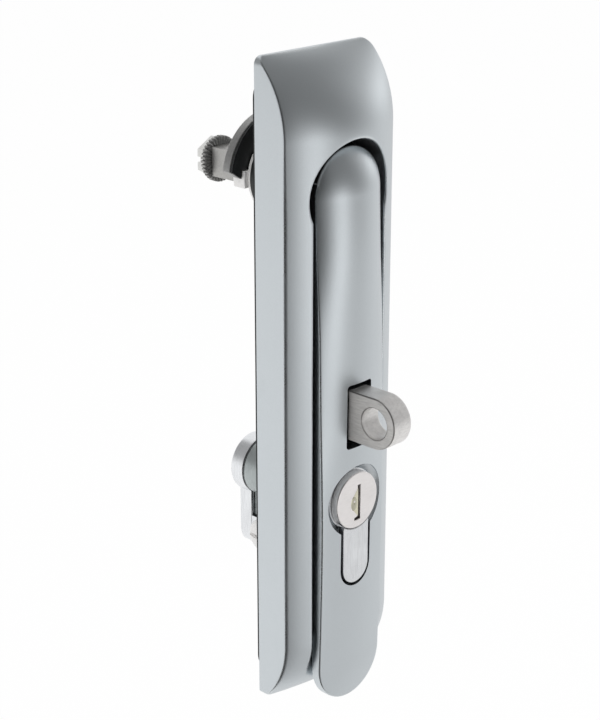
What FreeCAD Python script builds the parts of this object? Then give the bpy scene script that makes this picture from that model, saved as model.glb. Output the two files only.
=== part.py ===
import FreeCAD, Part
import os
from math import asin, atan2, hypot, pi, sin
import Sketcher
from FreeCAD import Placement, Rotation, Vector

# Swing handle latch for a cabinet door: a long die-cast dish with a lever that swings out of it,
# a profile half cylinder in the lever, a padlock eye, and a spindle that turns behind the door.
# Frame: origin on the spindle axis at the front face of the door, X to the right, Y into the
# door, Z up. The dish lies in front of the door, at negative Y.

os.makedirs("parts", exist_ok=True)
doc = FreeCAD.newDocument("SwingHandleLatch")

# Driving sizes, in millimetres and degrees
driving = {
    # dish
    "dishHalfWidth": 20.3,
    "dishTop": 34.4,
    "dishLength": 176.9,
    "tailLength": 18.3,
    "creaseDepth": 11.65,
    "crownHeight": 6.5,
    "hoodStart": 14.0,
    "hoodRoll": 27.0,
    "hoodCrown": 0.3,
    "leadIn": 5.0,
    "tailRoll": 26.0,
    "tailCrown": 3.0,
    "cornerRadius": 2.2,
    "tailCorner": 1.2,
    "channelHalfWidth": 13.3,
    "recessRadius": 14.3,
    "headDrop": 1.3,
    "floorFront": 4.0,
    "tailFloor": 12.7,
    "rimRound": 0.45,
    "neckRadius": 9.0,
    "neckRear": 9.6,
    "neckBore": 6.5,
    "fixingTopInset": 9.9,
    "fixingBottomInset": 11.5,
    "fixingHoleRadius": 2.1,
    "fixingHoleDepth": 8.0,
    "lighteningDepth": 4.0,
    "hollowGap": 2.0,
    "hollowAbove": 2.5,
    "hollowBelow": 6.0,
    "hollowInset": 3.0,
    "bossRadius": 4.2,
    "pocketOuter": 15.0,
    "bufferThickness": 0.9,
    "bufferHalfWidth": 6.0,
    "bufferInset": 4.0,
    # gasket
    "gasketThickness": 1.5,
    "gasketInset": 1.0,
    "gasketCorner": 6.0,
    "gasketTopInset": 4.8,
    "gasketBottomInset": 5.1,
    "gasketRoom": 0.5,
    # lever
    "leverHalfWidth": 12.1,
    "leverBack": 5.6,
    "leverWall": 2.4,
    "leverEdgeRound": 0.7,
    "leverOverhang": 3.0,
    "gripLength": 28.5,
    "headCrown": 19.7,
    "headEdge": 14.6,
    "neckPlace": -14.0,
    "shaftShare": 0.55,
    "shaftSwell": 0.2,
    "neckCrown": 20.0,
    "neckEdge": 15.0,
    "slotCrown": 19.5,
    "slotEdge": 16.6,
    "lockCrown": 18.9,
    "lockEdge": 17.3,
    "gripCrown": 18.4,
    "gripEdge": 17.0,
    "endCrown": 17.8,
    "endEdge": 16.6,
    "endThickness": 3.9,
    "endChamfer": 2.0,
    "headPocketFront": 14.3,
    "pocketFront": 15.0,
    "pocketMargin": 2.0,
    "liftAngle": 35.0,
    # pivot and swivel
    "pivotDepth": 9.5,
    "pivotRadius": 2.5,
    "pivotClearance": 0.05,
    "pivotInset": 0.2,
    "tongueRadius": 4.5,
    "sideClearance": 0.3,
    "tongueHalf": 7.0,
    "swivelLip": 0.5,
    "swivelBase": 2.2,
    # spindle and limit stop
    "journalRadius": 4.5,
    "spindleSquare": 8.0,
    "spindleRear": 31.5,
    "collarRadius": 11.3,
    "collarBevel": 0.4,
    "spindleSink": 0.2,
    "stopRingRadius": 10.7,
    "stopRingRear": 11.0,
    "stopLugRear": 15.0,
    "stopLugOuter": 12.0,
    "stopLugInner": 6.5,
    "limitDiscFront": 11.9,
    "limitDiscThickness": 2.7,
    "limitDiscRadius": 16.3,
    "linerThickness": 0.6,
    "limitEdge": 2.35,
    "washerRadius": 6.3,
    "washerThickness": 1.8,
    "hexAcrossFlats": 10.0,
    "hexHeight": 2.7,
    "screwRadius": 2.95,
    # padlock eye
    "eyePlace": -59.85,
    "eyeThickness": 6.8,
    "eyeRadius": 7.0,
    "eyeHoleRadius": 4.3,
    "eyeReach": 27.3,
    "eyeFootThickness": 1.8,
    "eyeFootHalfWidth": 7.5,
    "slotHalfWidth": 4.6,
    "slotCorner": 1.0,
    "slotAbove": 8.6,
    "slotBelow": 9.45,
    # profile half cylinder
    "plugPlace": -85.1,
    "cylinderFront": 18.9,
    "cylinderLength": 40.0,
    "barrelRadius": 8.5,
    "legWidth": 10.0,
    "legBottom": 24.5,
    "plugHeadRadius": 8.0,
    "plugHeadThickness": 2.2,
    "plugRadius": 6.4,
    "screwSetback": 30.0,
    "bitSlot": 10.4,
    "bitReach": 14.6,
    "bitHalfWidth": 4.1,
    "bitRingRadius": 7.7,
    "cylinderScrewDrop": 18.4,
    "panHeadRadius": 4.8,
    "panHeadHeight": 2.8,
    "m5Radius": 2.45,
    "keySlotWidth": 0.9,
    "keySlotHeight": 10.0,
    "keySlotSide": 0.8,
    "keySlotShare": 0.42,
    "keyFootShare": 0.7,
    "countersinkRadius": 10.2,
    "countersinkDepth": 1.5,
    "countersinkRise": 0.5,
    "legGap": 0.8,
    "earThickness": 3.0,
    "earTopGap": 0.7,
    "earLowInset": 0.6,
    "earReach": 3.9,
    "earTopBevel": 1.5,
    "earLowBevel": 2.5,
    "legRecess": 0.35,
    "bitClear": 0.5,
    "panSlotHalf": 0.6,
    "eyeScrewSpread": 4.0,
    "eyeScrewRadius": 1.5,
    "eyeScrewLength": 7.0,
    "flangeRadius": 5.7,
    "stopLugFoot": 2.5,
    "tappedDepth": 12.0,
    "limitHook": 2.15,
    "limitHookGap": 0.35,
    "limitHookWidth": 0.4,
    "limitHookTaper": 0.2,
    "teeth": 18,
    "toothDepth": 1.0,
    "toothWidth": 0.55,
    "toothRoot": 0.3,
    "camSlotHalf": 0.8,
    "keyFoot": 1.3,
    "keywayDepth": 14.0,
    "keyPinRadius": 0.8,
    "keyPinSide": -1.3,
    "keyPinLength": 6.0,
    "keyPinProud": 0.25,
    "clipThickness": 0.8,
    "clipInset": 0.2,
    "clipGap": 40.0,
    "keeperScrewRadius": 1.2,
    "keeperScrewSpread": 5.2,
    "keeperScrewLength": 12.0,
    # countersunk heads, as shares of the screw's radius
    "screwHeadWide": 1.8,
    "screwHeadTall": 0.8,
    "screwTipGap": 0.4,
    # clearances, and how far one shape runs past or into another where they are cut or joined
    "fit": 0.05,
    "freeGap": 0.3,
    "beyond": 1.0,
    "overlap": 0.5,
    "axisLength": 10.0,
    # opening for the lock in the dish floor
    "openingHalfWidth": 11.3,
    "openingAbove": 9.5,
    "openingBelow": 31.5,
    # keeper
    "keeperInset": 2.7,
    "keeperHalfHeight": 8.0,
    "keeperScrewInset": 5.0,
    "keeperRear": 6.3,
}

sheet = doc.addObject("Spreadsheet::Sheet", "size")
# Places that follow from the driving sizes
following = {
    "dishBottom": "=dishTop - dishLength",
    "tailStart": "=dishBottom + tailLength",
    "fixingTop": "=dishTop - fixingTopInset",
    "fixingBottom": "=dishBottom + fixingBottomInset",
    "gasketTop": "=dishTop - gasketTopInset",
    "gasketBottom": "=dishBottom + gasketBottomInset",
    "leverBottom": "=dishBottom - leverOverhang",
    "gripPlace": "=leverBottom + gripLength",
    "slotTop": "=eyePlace + slotAbove",
    "slotBottom": "=eyePlace - slotBelow",
    "openingTop": "=plugPlace + openingAbove",
    "openingBottom": "=plugPlace - openingBelow",
    "keeperInner": "=openingHalfWidth + fit",
    "keeperOuter": "=dishHalfWidth - keeperInset",
    "keeperScrewSide": "=dishHalfWidth - keeperScrewInset",
}
for row, (alias, value) in enumerate({**driving, **following}.items(), start=1):
    sheet.set("A%d" % row, alias)
    sheet.set("B%d" % row, str(value))
    sheet.setAlias("B%d" % row, alias)
    if alias in following:
        doc.recompute()
doc.recompute()


def number(text):
    return float(doc.size.evalExpression(text.replace("size.", "")))


def newBody(name):
    part = doc.addObject("PartDesign::Body", name)
    part.Label = name
    return part


def newSketch(part, name, role, offset=None):
    drawing = part.newObject("Sketcher::SketchObject", name)
    planes = [item for item in part.Origin.OriginFeatures if item.Role == role]
    drawing.AttachmentSupport = (planes[0], [""])
    drawing.MapMode = "FlatFace"
    if offset:
        drawing.setExpression("AttachmentOffset.Base.z", offset)
    return drawing


def bind(drawing, kind, members, expression):
    index = drawing.addConstraint(Sketcher.Constraint(kind, *members, number(expression)))
    drawing.setExpression("Constraints[%d]" % index, expression)


def place(drawing, geometry, end, corner):
    # a point of the outline, held by its two distances from the origin
    bind(drawing, "DistanceX", (-1, 1, geometry, end), corner[0])
    bind(drawing, "DistanceY", (-1, 1, geometry, end), corner[1])


def outline(drawing, corners, arcs=None):
    # A closed outline. A side is straight unless arcs gives it a centre and a turn, where the
    # turn is 1 for an arc that runs anticlockwise from its corner to the next and -1 for the other.
    arcs = arcs or {}
    points = [Vector(number(u), number(v), 0) for u, v in corners]
    start = drawing.GeometryCount
    ends = []
    for index, here in enumerate(points):
        there = points[(index + 1) % len(points)]
        if index not in arcs:
            drawing.addGeometry(Part.LineSegment(here, there), False)
            ends.append((1, 2))
            continue
        u, v, turn = arcs[index]
        centre = Vector(number(u), number(v), 0)
        first, last = (here, there) if turn > 0 else (there, here)
        low = atan2(first.y - centre.y, first.x - centre.x)
        high = atan2(last.y - centre.y, last.x - centre.x)
        if high <= low:
            high += 2 * pi
        circle = Part.Circle(centre, Vector(0, 0, 1), (here - centre).Length)
        drawing.addGeometry(Part.ArcOfCircle(circle, low, high), False)
        ends.append((1, 2) if turn > 0 else (2, 1))
    for index, corner in enumerate(corners):
        following = (index + 1) % len(corners)
        joint = (start + index, ends[index][1], start + following, ends[following][0])
        drawing.addConstraint(Sketcher.Constraint("Coincident", *joint))
        place(drawing, start + index, ends[index][0], corner)
    for index, (u, v, turn) in arcs.items():
        chord = points[(index + 1) % len(points)] - points[index]
        if abs(chord.y) > abs(chord.x):
            bind(drawing, "DistanceX", (-1, 1, start + index, 3), u)
        else:
            bind(drawing, "DistanceY", (-1, 1, start + index, 3), v)


def circle(drawing, radius, u="0", v="0"):
    middle = Vector(number(u), number(v), 0)
    index = drawing.addGeometry(Part.Circle(middle, Vector(0, 0, 1), number(radius)), False)
    place(drawing, index, 3, (u, v))
    bind(drawing, "Radius", (index,), radius)


def rectangle(drawing, left, right, low, high):
    outline(drawing, [(left, low), (right, low), (right, high), (left, high)])


def roundedRectangle(drawing, reach, low, high, corner):
    # a rectangle as far to the left as to the right, with its four corners rounded
    slim = "(%s - %s)" % (reach, corner)
    highArc = "(%s - %s)" % (high, corner)
    lowArc = "(%s + %s)" % (low, corner)
    outline(drawing, [
        (reach, highArc), (slim, high), ("-" + slim, high), ("-" + reach, highArc),
        ("-" + reach, lowArc), ("-" + slim, low), (slim, low), (reach, lowArc),
    ], {
        0: (slim, highArc, 1), 2: ("-" + slim, highArc, 1),
        4: ("-" + slim, lowArc, 1), 6: (slim, lowArc, 1),
    })


def pad(part, name, drawing, length, back=False):
    feature = part.newObject("PartDesign::Pad", name)
    feature.Profile = drawing
    feature.setExpression("Length", length)
    feature.Reversed = back
    return feature


def pocket(part, name, drawing, length=None, back=False):
    # cuts against the sketch's normal unless back is set; with no length it cuts right through
    feature = part.newObject("PartDesign::Pocket", name)
    feature.Profile = drawing
    if length:
        feature.setExpression("Length", length)
    else:
        feature.Type = 1
    feature.Reversed = back
    return feature


def spin(part, name, drawing, axis, kind="PartDesign::Revolution", angle=360.0, back=False):
    feature = part.newObject(kind, name)
    feature.Profile = drawing
    lines = [item for item in part.Origin.OriginFeatures if item.Role == axis]
    feature.ReferenceAxis = (lines[0], [""])
    feature.Angle = angle
    feature.Reversed = back
    return feature


def axisThrough(part, name, side, height):
    # a line along Y that a feature turns about
    drawing = newSketch(part, name, "XY_Plane", height)
    start = Vector(number(side), 0, 0)
    end = start + Vector(0, number("size.axisLength"), 0)
    line = drawing.addGeometry(Part.LineSegment(start, end), False)
    place(drawing, line, 1, (side, "0"))
    place(drawing, line, 2, (side, "size.axisLength"))
    return drawing


def loft(part, name, sections):
    feature = part.newObject("PartDesign::AdditiveLoft", name)
    feature.Profile = sections[0]
    feature.Sections = sections[1:]
    return feature


def crownSection(part, name, z, halfWidth, back, edge, crown):
    # flat back and sides, and a front that bows out in one arc from edge to edge
    drawing = newSketch(part, name, "XY_Plane", z)
    rise = "((%s) - (%s))" % (crown, edge)
    radius = "(((%s)^2 + %s^2) / (2 * %s))" % (halfWidth, rise, rise)
    corners = [
        (halfWidth, "-(%s)" % back),
        ("-(%s)" % halfWidth, "-(%s)" % back),
        ("-(%s)" % halfWidth, "-(%s)" % edge),
        (halfWidth, "-(%s)" % edge),
    ]
    outline(drawing, corners, {2: ("0", "%s - (%s)" % (radius, crown), 1)})
    return drawing


def roundOver(part, name, radius, onWall):
    # rounds every front edge that runs along the wall that onWall measures
    base = part.Tip
    doc.recompute()
    chosen = []
    for index, edge in enumerate(base.Shape.Edges, start=1):
        low, high = edge.ParameterRange
        samples = [edge.valueAt(low + (high - low) * share) for share in (0.2, 0.5, 0.8)]
        if all(onWall(point) for point in samples):
            chosen.append("Edge%d" % index)
    feature = part.newObject("PartDesign::Fillet", name)
    feature.Base = (base, chosen)
    feature.setExpression("Radius", radius)
    return feature


def cylinderAlong(name, axis, radius, low, high, across=("0", "0")):
    # a plain round along one axis, from low to high
    solid = doc.addObject("Part::Cylinder", name)
    solid.setExpression("Radius", radius)
    solid.setExpression("Height", "(%s) - (%s)" % (high, low))
    turns = {
        "X": Rotation(Vector(0, 1, 0), 90),
        "Y": Rotation(Vector(1, 0, 0), -90),
        "Z": Rotation(),
    }
    solid.Placement = Placement(Vector(), turns[axis])
    others = [letter for letter in "xyz" if letter != axis.lower()]
    solid.setExpression("Placement.Base.%s" % axis.lower(), low)
    solid.setExpression("Placement.Base.%s" % others[0], across[0])
    solid.setExpression("Placement.Base.%s" % others[1], across[1])
    return solid


def fused(name, pieces):
    joined = doc.addObject("Part::MultiFuse", name)
    joined.Shapes = pieces
    joined.Label = name
    return joined


parts = []

# The dish: straight through its length, and rolled back at the hood and at the tail.
# Each end is a loft of arcs whose edges follow one roll and whose crown follows another.
crown = "(size.creaseDepth + size.crownHeight)"
dish = newBody("dish")
parts.append(dish)
straight = crownSection(
    dish, "dishSection", "size.tailStart + size.leadIn", "size.dishHalfWidth",
    "size.gasketThickness", "size.creaseDepth", crown)
pad(dish, "dishLength", straight, "size.hoodStart - size.tailStart - 2 * size.leadIn")


def rolled(depth, along, roll):
    # how deep a line lies that leaves the front face on a circle of radius roll
    return "(%s - (%s - sqrt((%s)^2 - (%s)^2)))" % (depth, roll, roll, along)


def rolledEnd(name, start, sign, length, edgeRoll, crownRoll, count):
    # Sections at even turns about the crown's roll, after a short straight lead-in.
    sections = []
    for step in range(2):
        height = "(%s) %s (-size.leadIn * %g)" % (start, sign, 1 - 0.5 * step)
        sections.append(crownSection(
            dish, "%sLead%d" % (name, step), height, "size.dishHalfWidth",
            "size.gasketThickness", "size.creaseDepth", crown))
    turn = asin(number(length) / number(crownRoll))
    for step in range(count + 1):
        share = sin(turn * step / count) / sin(turn)
        along = "(%s * %.6f)" % (length, share)
        sections.append(crownSection(
            dish, "%sSection%d" % (name, step), "(%s) %s %s" % (start, sign, along),
            "size.dishHalfWidth", "size.gasketThickness",
            rolled("size.creaseDepth", along, edgeRoll), rolled(crown, along, crownRoll)))
    return loft(dish, name, sections)


def rollThrough(fall, length):
    return "((%s^2 + %s^2) / (2 * %s))" % (fall, length, fall)


hoodLength = "(size.dishTop - size.hoodStart)"
hoodEdgeFall = "(size.hoodRoll - sqrt(size.hoodRoll^2 - %s^2))" % hoodLength
hoodFall = "(size.crownHeight - size.hoodCrown + %s)" % hoodEdgeFall
rolledEnd("hood", "size.hoodStart", "+", hoodLength, "size.hoodRoll",
          rollThrough(hoodFall, hoodLength), 8)
tailEdgeFall = "(size.tailRoll - sqrt(size.tailRoll^2 - size.tailLength^2))"
tailFall = "(size.crownHeight - size.tailCrown + %s)" % tailEdgeFall
rolledEnd("tail", "size.tailStart", "-", "size.tailLength", "size.tailRoll",
          rollThrough(tailFall, "size.tailLength"), 6)

# rounded corners of the outline
cornerCut = newSketch(dish, "cornerOutline", "XZ_Plane")
for side in ("-", ""):
    for height, sign, radius in (("size.dishTop", "-", "size.cornerRadius"),
                                 ("size.dishBottom", "+", "size.tailCorner")):
        tip = ("%s(size.dishHalfWidth)" % side, height)
        inward = "+" if side else "-"
        across = ("%s(size.dishHalfWidth) %s %s" % (side, inward, radius), height)
        down = (tip[0], "%s %s %s" % (height, sign, radius))
        turn = 1 if (side == "") == (sign == "-") else -1
        outline(cornerCut, [tip, across, down], {1: (across[0], down[1], -turn)})
pocket(dish, "corners", cornerCut, "2 * %s" % crown, back=True)

# the channel that the lever lies in, with a round recess about the lever's head
recessEnd = "(-size.headDrop - sqrt(size.recessRadius^2 - size.channelHalfWidth^2))"
channel = newSketch(dish, "channelOutline", "XZ_Plane", "size.floorFront")
outline(channel, [
    ("size.channelHalfWidth", recessEnd),
    ("-size.channelHalfWidth", recessEnd),
    ("-size.channelHalfWidth", "size.tailStart"),
    ("size.channelHalfWidth", "size.tailStart"),
], {0: ("0", "-size.headDrop", 1)})
pocket(dish, "channel", channel, "2 * %s" % crown, back=True)
tailChannel = newSketch(dish, "tailChannelOutline", "XZ_Plane", "size.tailFloor")
rectangle(tailChannel, "-size.channelHalfWidth", "size.channelHalfWidth",
          "size.dishBottom - size.cornerRadius", "size.tailStart + size.freeGap")
pocket(dish, "tailChannel", tailChannel, "2 * %s" % crown, back=True)

rimDepth = number("size.tailFloor + size.fit")
tailEnd = number("size.dishBottom + size.fit")
headPlace = number("-size.headDrop")
nearby = 0.01


def onRim(point):
    if point.z > number(recessEnd):
        away = hypot(point.x, point.z - headPlace) - number("size.recessRadius")
    else:
        away = abs(point.x) - number("size.channelHalfWidth")
    return abs(away) < nearby and point.y < -rimDepth and point.z > tailEnd


roundOver(dish, "rim", "size.rimRound", onRim)

# the back of the casting is hollowed beside the two fixing bosses
hollows = newSketch(dish, "backHollows", "XZ_Plane", "size.gasketThickness - size.beyond")
for left, right in (("size.bossRadius", "size.pocketOuter"),
                    ("-size.pocketOuter", "-size.bossRadius")):
    rectangle(hollows, left, right, "size.recessRadius + size.hollowGap",
              "size.fixingTop + size.hollowAbove")
for left, right in (("size.bossRadius", "size.pocketOuter - size.hollowInset"),
                    ("size.hollowInset - size.pocketOuter", "-size.bossRadius")):
    rectangle(hollows, left, right, "size.fixingBottom - size.hollowBelow",
              "size.tailStart - size.hollowGap")
pocket(dish, "backHollowing", hollows, "size.lighteningDepth + size.beyond", back=True)

# the neck that goes through the door, its bore, and the opening that the lock swings through
neck = newSketch(dish, "neckOutline", "XZ_Plane", "size.floorFront")
circle(neck, "size.neckRadius")
pad(dish, "neck", neck, "size.neckRear + size.floorFront", back=True)
neckBore = newSketch(dish, "neckBoreOutline", "XZ_Plane", "-size.neckRear - size.beyond")
circle(neckBore, "size.neckBore")
pocket(dish, "neckHole", neckBore, "size.neckRear + size.floorFront + 2 * size.beyond", back=True)
lockOpening = newSketch(dish, "lockOpeningOutline", "XZ_Plane")
roundedRectangle(lockOpening, "size.openingHalfWidth", "size.openingBottom", "size.openingTop",
                 "size.cornerRadius")
pocket(dish, "lockOpening", lockOpening, "size.floorFront + size.beyond", back=True)
for name, height in (("upperFixing", "size.fixingTop"), ("lowerFixing", "size.fixingBottom")):
    fixing = newSketch(dish, name + "Outline", "XZ_Plane", "size.gasketThickness - size.beyond")
    circle(fixing, "size.fixingHoleRadius", "0", height)
    pocket(dish, name, fixing, "size.fixingHoleDepth + size.beyond", back=True)

# The gasket between the dish and the door, inset from the dish's edge
gasket = newBody("gasket")
parts.append(gasket)
sheetOutline = newSketch(gasket, "gasketOutline", "XZ_Plane")
roundedRectangle(sheetOutline, "(size.dishHalfWidth - size.gasketInset)", "size.gasketBottom",
                 "size.gasketTop", "size.gasketCorner")
pad(gasket, "gasketSheet", sheetOutline, "size.gasketThickness")
gasketHoles = newSketch(gasket, "gasketHoles", "XZ_Plane", "-size.beyond")
circle(gasketHoles, "size.collarRadius + size.fit")
for height in ("size.fixingTop", "size.fixingBottom"):
    circle(gasketHoles, "size.fixingHoleRadius + size.gasketRoom", "0", height)
keeperClear = "(size.keeperOuter + size.freeGap)"
keeperHigh = "(size.plugPlace + size.keeperHalfHeight + size.freeGap)"
keeperLow = "(size.plugPlace - size.keeperHalfHeight - size.freeGap)"
wide = "(size.openingHalfWidth + size.gasketRoom)"
slim = "(%s - size.cornerRadius)" % wide
high = "(size.openingTop + size.gasketRoom)"
low = "(size.openingBottom - size.gasketRoom)"
highArc = "(%s - size.cornerRadius)" % high
lowArc = "(%s + size.cornerRadius)" % low
outline(gasketHoles, [
    (wide, keeperHigh), (wide, high), ("-" + slim, high), ("-" + wide, highArc),
    ("-" + wide, lowArc), ("-" + slim, low), (slim, low), (wide, lowArc),
    (wide, keeperLow), (keeperClear, keeperLow), (keeperClear, keeperHigh),
], {2: ("-" + slim, highArc, 1), 4: ("-" + slim, lowArc, 1), 6: (slim, lowArc, 1)})
pocket(gasket, "gasketCutouts", gasketHoles, "size.gasketThickness + 2 * size.beyond", back=True)


def leverShoulder(edge, crown):
    # a crowned front of the lever whose edges are rounded into its sides: the crown's centre, the
    # centre of the right edge's round, and the point where that round meets the crown
    rise = "((%s) - (%s))" % (crown, edge)
    radius = "((size.leverHalfWidth^2 + %s^2) / (2 * %s))" % (rise, rise)
    middle = "(%s - (%s))" % (radius, crown)
    side = "(size.leverHalfWidth - size.leverEdgeRound)"
    drop = "sqrt((%s - size.leverEdgeRound)^2 - %s^2)" % (radius, side)
    share = "(%s / (%s - size.leverEdgeRound))" % (radius, radius)
    return (middle, (side, "(%s - %s)" % (middle, drop)),
            ("(%s * %s)" % (side, share), "(%s - %s * %s)" % (middle, drop, share)))


def leverSection(name, z, edge, crown):
    drawing = newSketch(lever, name, "XY_Plane", z)
    middle, (side, depth), (meetSide, meetDepth) = leverShoulder(edge, crown)
    outline(drawing, [
        ("size.leverHalfWidth", "-size.leverBack"), ("-size.leverHalfWidth", "-size.leverBack"),
        ("-size.leverHalfWidth", depth), ("-" + meetSide, meetDepth),
        (meetSide, meetDepth), ("size.leverHalfWidth", depth),
    ], {2: ("-" + side, depth, 1), 3: ("0", middle, 1), 4: (side, depth, 1)})
    return drawing


def leverEnd(name, z, edge, crown, back):
    # half a turn of the section at one end of the lever
    drawing = newSketch(lever, name + "Outline", "XY_Plane", z)
    middle, (side, depth), meeting = leverShoulder(edge, crown)
    outline(drawing, [
        ("0", "-size.leverBack"), ("0", "-(%s)" % crown), meeting,
        ("size.leverHalfWidth", depth), ("size.leverHalfWidth", "-size.leverBack"),
    ], {1: ("0", middle, 1), 2: (side, depth, 1)})
    turned = lever.newObject("PartDesign::Revolution", name)
    turned.Profile = drawing
    turned.ReferenceAxis = (axisThrough(lever, name + "Axis", "0", z), ["Edge1"])
    turned.Angle = 180.0
    turned.Reversed = back


# The lever: a domed head about the spindle axis, then sections that grow flatter to the grip
lever = newBody("lever")
gripCentre = "(size.leverBottom + size.leverHalfWidth)"
parts.append(lever)
sections = [
    ("-size.headDrop", "size.headEdge", "size.headCrown"),
    ("size.neckPlace", "size.neckEdge", "size.neckCrown"),
    ("size.eyePlace * size.shaftShare", "(size.neckEdge + size.slotEdge) / 2 + size.shaftSwell",
     "(size.neckCrown + size.slotCrown) / 2"),
    ("size.eyePlace", "size.slotEdge", "size.slotCrown"),
    ("size.plugPlace", "size.lockEdge", "size.lockCrown"),
    ("size.gripPlace", "size.gripEdge", "size.gripCrown"),
    (gripCentre, "size.endEdge", "size.endCrown"),
]
leverSections = []
for step, (height, edge, top) in enumerate(sections):
    leverSections.append(leverSection("leverSection%d" % step, height, edge, top))
loft(lever, "leverLength", leverSections)
leverEnd("leverHead", "-size.headDrop", "size.headEdge", "size.headCrown", True)
leverEnd("gripEnd", gripCentre, "size.endEdge", "size.endCrown", False)

# the thin end of the grip, and the slope that lets the head swing in
endBack = "(size.endCrown - size.endThickness)"
thin = newSketch(lever, "thinOutline", "YZ_Plane", "-size.leverHalfWidth - size.beyond")
stepPlace = "(size.tailStart + 2 * size.freeGap)"
outline(thin, [
    ("-size.leverBack + size.beyond", stepPlace + " + size.endChamfer"),
    ("-size.leverBack + size.beyond", "size.leverBottom - size.beyond"),
    ("-" + endBack, "size.leverBottom - size.beyond"),
    ("-" + endBack, stepPlace),
    ("-(%s - size.endChamfer)" % endBack, stepPlace + " + size.endChamfer"),
])
acrossLever = "2 * (size.leverHalfWidth + size.beyond)"
pocket(lever, "thinEnd", thin, acrossLever, back=True)
slope = newSketch(lever, "slopeOutline", "YZ_Plane", "-size.leverHalfWidth - size.beyond")
swingRoom = "(size.pivotDepth - size.floorFront - size.freeGap)"
headTop = "(size.leverHalfWidth - size.headDrop + size.beyond)"
slopeFoot = "(size.pivotDepth - size.leverBack + size.beyond)"
cosine = "cos(size.liftAngle * 1deg)"
sine = "sin(size.liftAngle * 1deg)"
slopeBack = "((%s - %s * %s) / %s - size.pivotDepth)" % (swingRoom, headTop, sine, cosine)
slopeLow = "((%s - %s * %s) / %s)" % (swingRoom, slopeFoot, cosine, sine)
outline(slope, [
    (slopeBack, headTop), ("-size.leverBack + size.beyond", headTop),
    ("-size.leverBack + size.beyond", slopeLow),
])
pocket(lever, "headSlope", slope, acrossLever, back=True)

# the hollow back: a round-topped pocket for the swivel, and a pocket behind the padlock slot
inner = "(size.leverHalfWidth - size.leverWall)"
hollow = newSketch(lever, "headPocketOutline", "XZ_Plane", "size.leverBack - size.beyond")
outline(hollow, [
    (inner, "0"), ("-" + inner, "0"),
    ("-" + inner, "size.slotTop + size.leverWall + size.pocketMargin"),
    (inner, "size.slotTop + size.leverWall + size.pocketMargin"),
], {0: ("0", "0", 1)})
pocket(lever, "headPocket", hollow, "size.headPocketFront - size.leverBack + size.beyond", back=True)
behind = newSketch(lever, "eyePocketOutline", "XZ_Plane", "size.leverBack - size.beyond")
rectangle(behind, "-" + inner, inner, "size.slotBottom - size.pocketMargin",
          "size.slotTop + size.pocketMargin")
pocket(lever, "eyePocket", behind, "size.pocketFront - size.leverBack + size.beyond", back=True)
gripHollow = newSketch(lever, "gripPocketOutline", "XZ_Plane", "size.leverBack - size.beyond")
legEnd = "(size.plugPlace - size.legBottom - size.legGap)"
rectangle(gripHollow, "-" + inner, inner, stepPlace + " + size.endChamfer + size.leverWall",
          legEnd + " - size.leverWall")
pocket(lever, "gripPocket", gripHollow, "size.pocketFront - size.leverBack", back=True)

# the slot for the padlock eye, rounded at its corners
slot = newSketch(lever, "slotOutline", "XZ_Plane")
roundedRectangle(slot, "size.slotHalfWidth", "size.slotBottom", "size.slotTop", "size.slotCorner")
pocket(lever, "eyeSlot", slot, "2 * size.headCrown", back=True)

# the seat of the half cylinder: its own profile right through, and a cone about its round face
legCentre = "(size.plugPlace - size.legBottom + size.legWidth / 2)"
seatLeg = "(size.legWidth / 2 + size.legGap)"
seatRound = "(size.barrelRadius + size.fit)"
seatShoulder = "(size.plugPlace - sqrt(%s^2 - %s^2))" % (seatRound, seatLeg)
seat = newSketch(lever, "lockSeatOutline", "XZ_Plane")
outline(seat, [
    (seatLeg, seatShoulder), ("-" + seatLeg, seatShoulder),
    ("-" + seatLeg, legCentre), (seatLeg, legCentre),
], {0: ("0", "size.plugPlace", 1), 2: ("0", legCentre, 1)})
pocket(lever, "lockSeat", seat, "2 * size.headCrown", back=True)
cone = newSketch(lever, "coneOutline", "XY_Plane", "size.plugPlace")
coneFloor = "(size.lockEdge - size.countersinkDepth + size.countersinkRise)"
coneTop = "(-size.headCrown - size.beyond)"
outline(cone, [
    ("0", "-" + coneFloor), (seatRound, "-" + coneFloor),
    ("size.countersinkRadius", "-(%s + size.countersinkDepth)" % coneFloor),
    ("size.countersinkRadius", coneTop), ("0", coneTop),
])
countersink = lever.newObject("PartDesign::Groove", "countersink")
countersink.Profile = cone
countersink.ReferenceAxis = (axisThrough(lever, "coneAxis", "0", "size.plugPlace"), ["Edge1"])
countersink.Angle = 360.0

# the ear that takes the end of the cylinder's fixing screw, and the bore for the pivot pin
screwPlace = "(size.screwSetback - size.cylinderFront)"
screwHeight = "(size.plugPlace - size.cylinderScrewDrop)"
earInner = "(size.legWidth / 2 + size.fit)"
ear = newSketch(lever, "earOutline", "YZ_Plane", earInner)
earTop = "(size.plugPlace - size.bitReach - size.earTopGap)"
earLow = "(size.plugPlace - size.legBottom + size.earLowInset)"
earRear = "(%s + size.earReach)" % screwPlace
outline(ear, [
    ("-size.leverBack - size.beyond", earTop), ("-size.leverBack - size.beyond", earLow),
    (earRear + " - size.earLowBevel", earLow), (earRear, earLow + " + size.earLowBevel"),
    (earRear, earTop + " - size.earTopBevel"), (earRear + " - size.earTopBevel", earTop),
])
pad(lever, "ear", ear, "size.earThickness")
earHole = newSketch(lever, "earHoleOutline", "YZ_Plane", "size.legWidth / 2 - size.beyond")
circle(earHole, "size.m5Radius + size.fit", screwPlace, screwHeight)
pocket(lever, "earHole", earHole, "size.earThickness + 3 * size.beyond", back=True)
bossInner = "(size.neckBore + size.swivelLip + size.sideClearance)"
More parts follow.
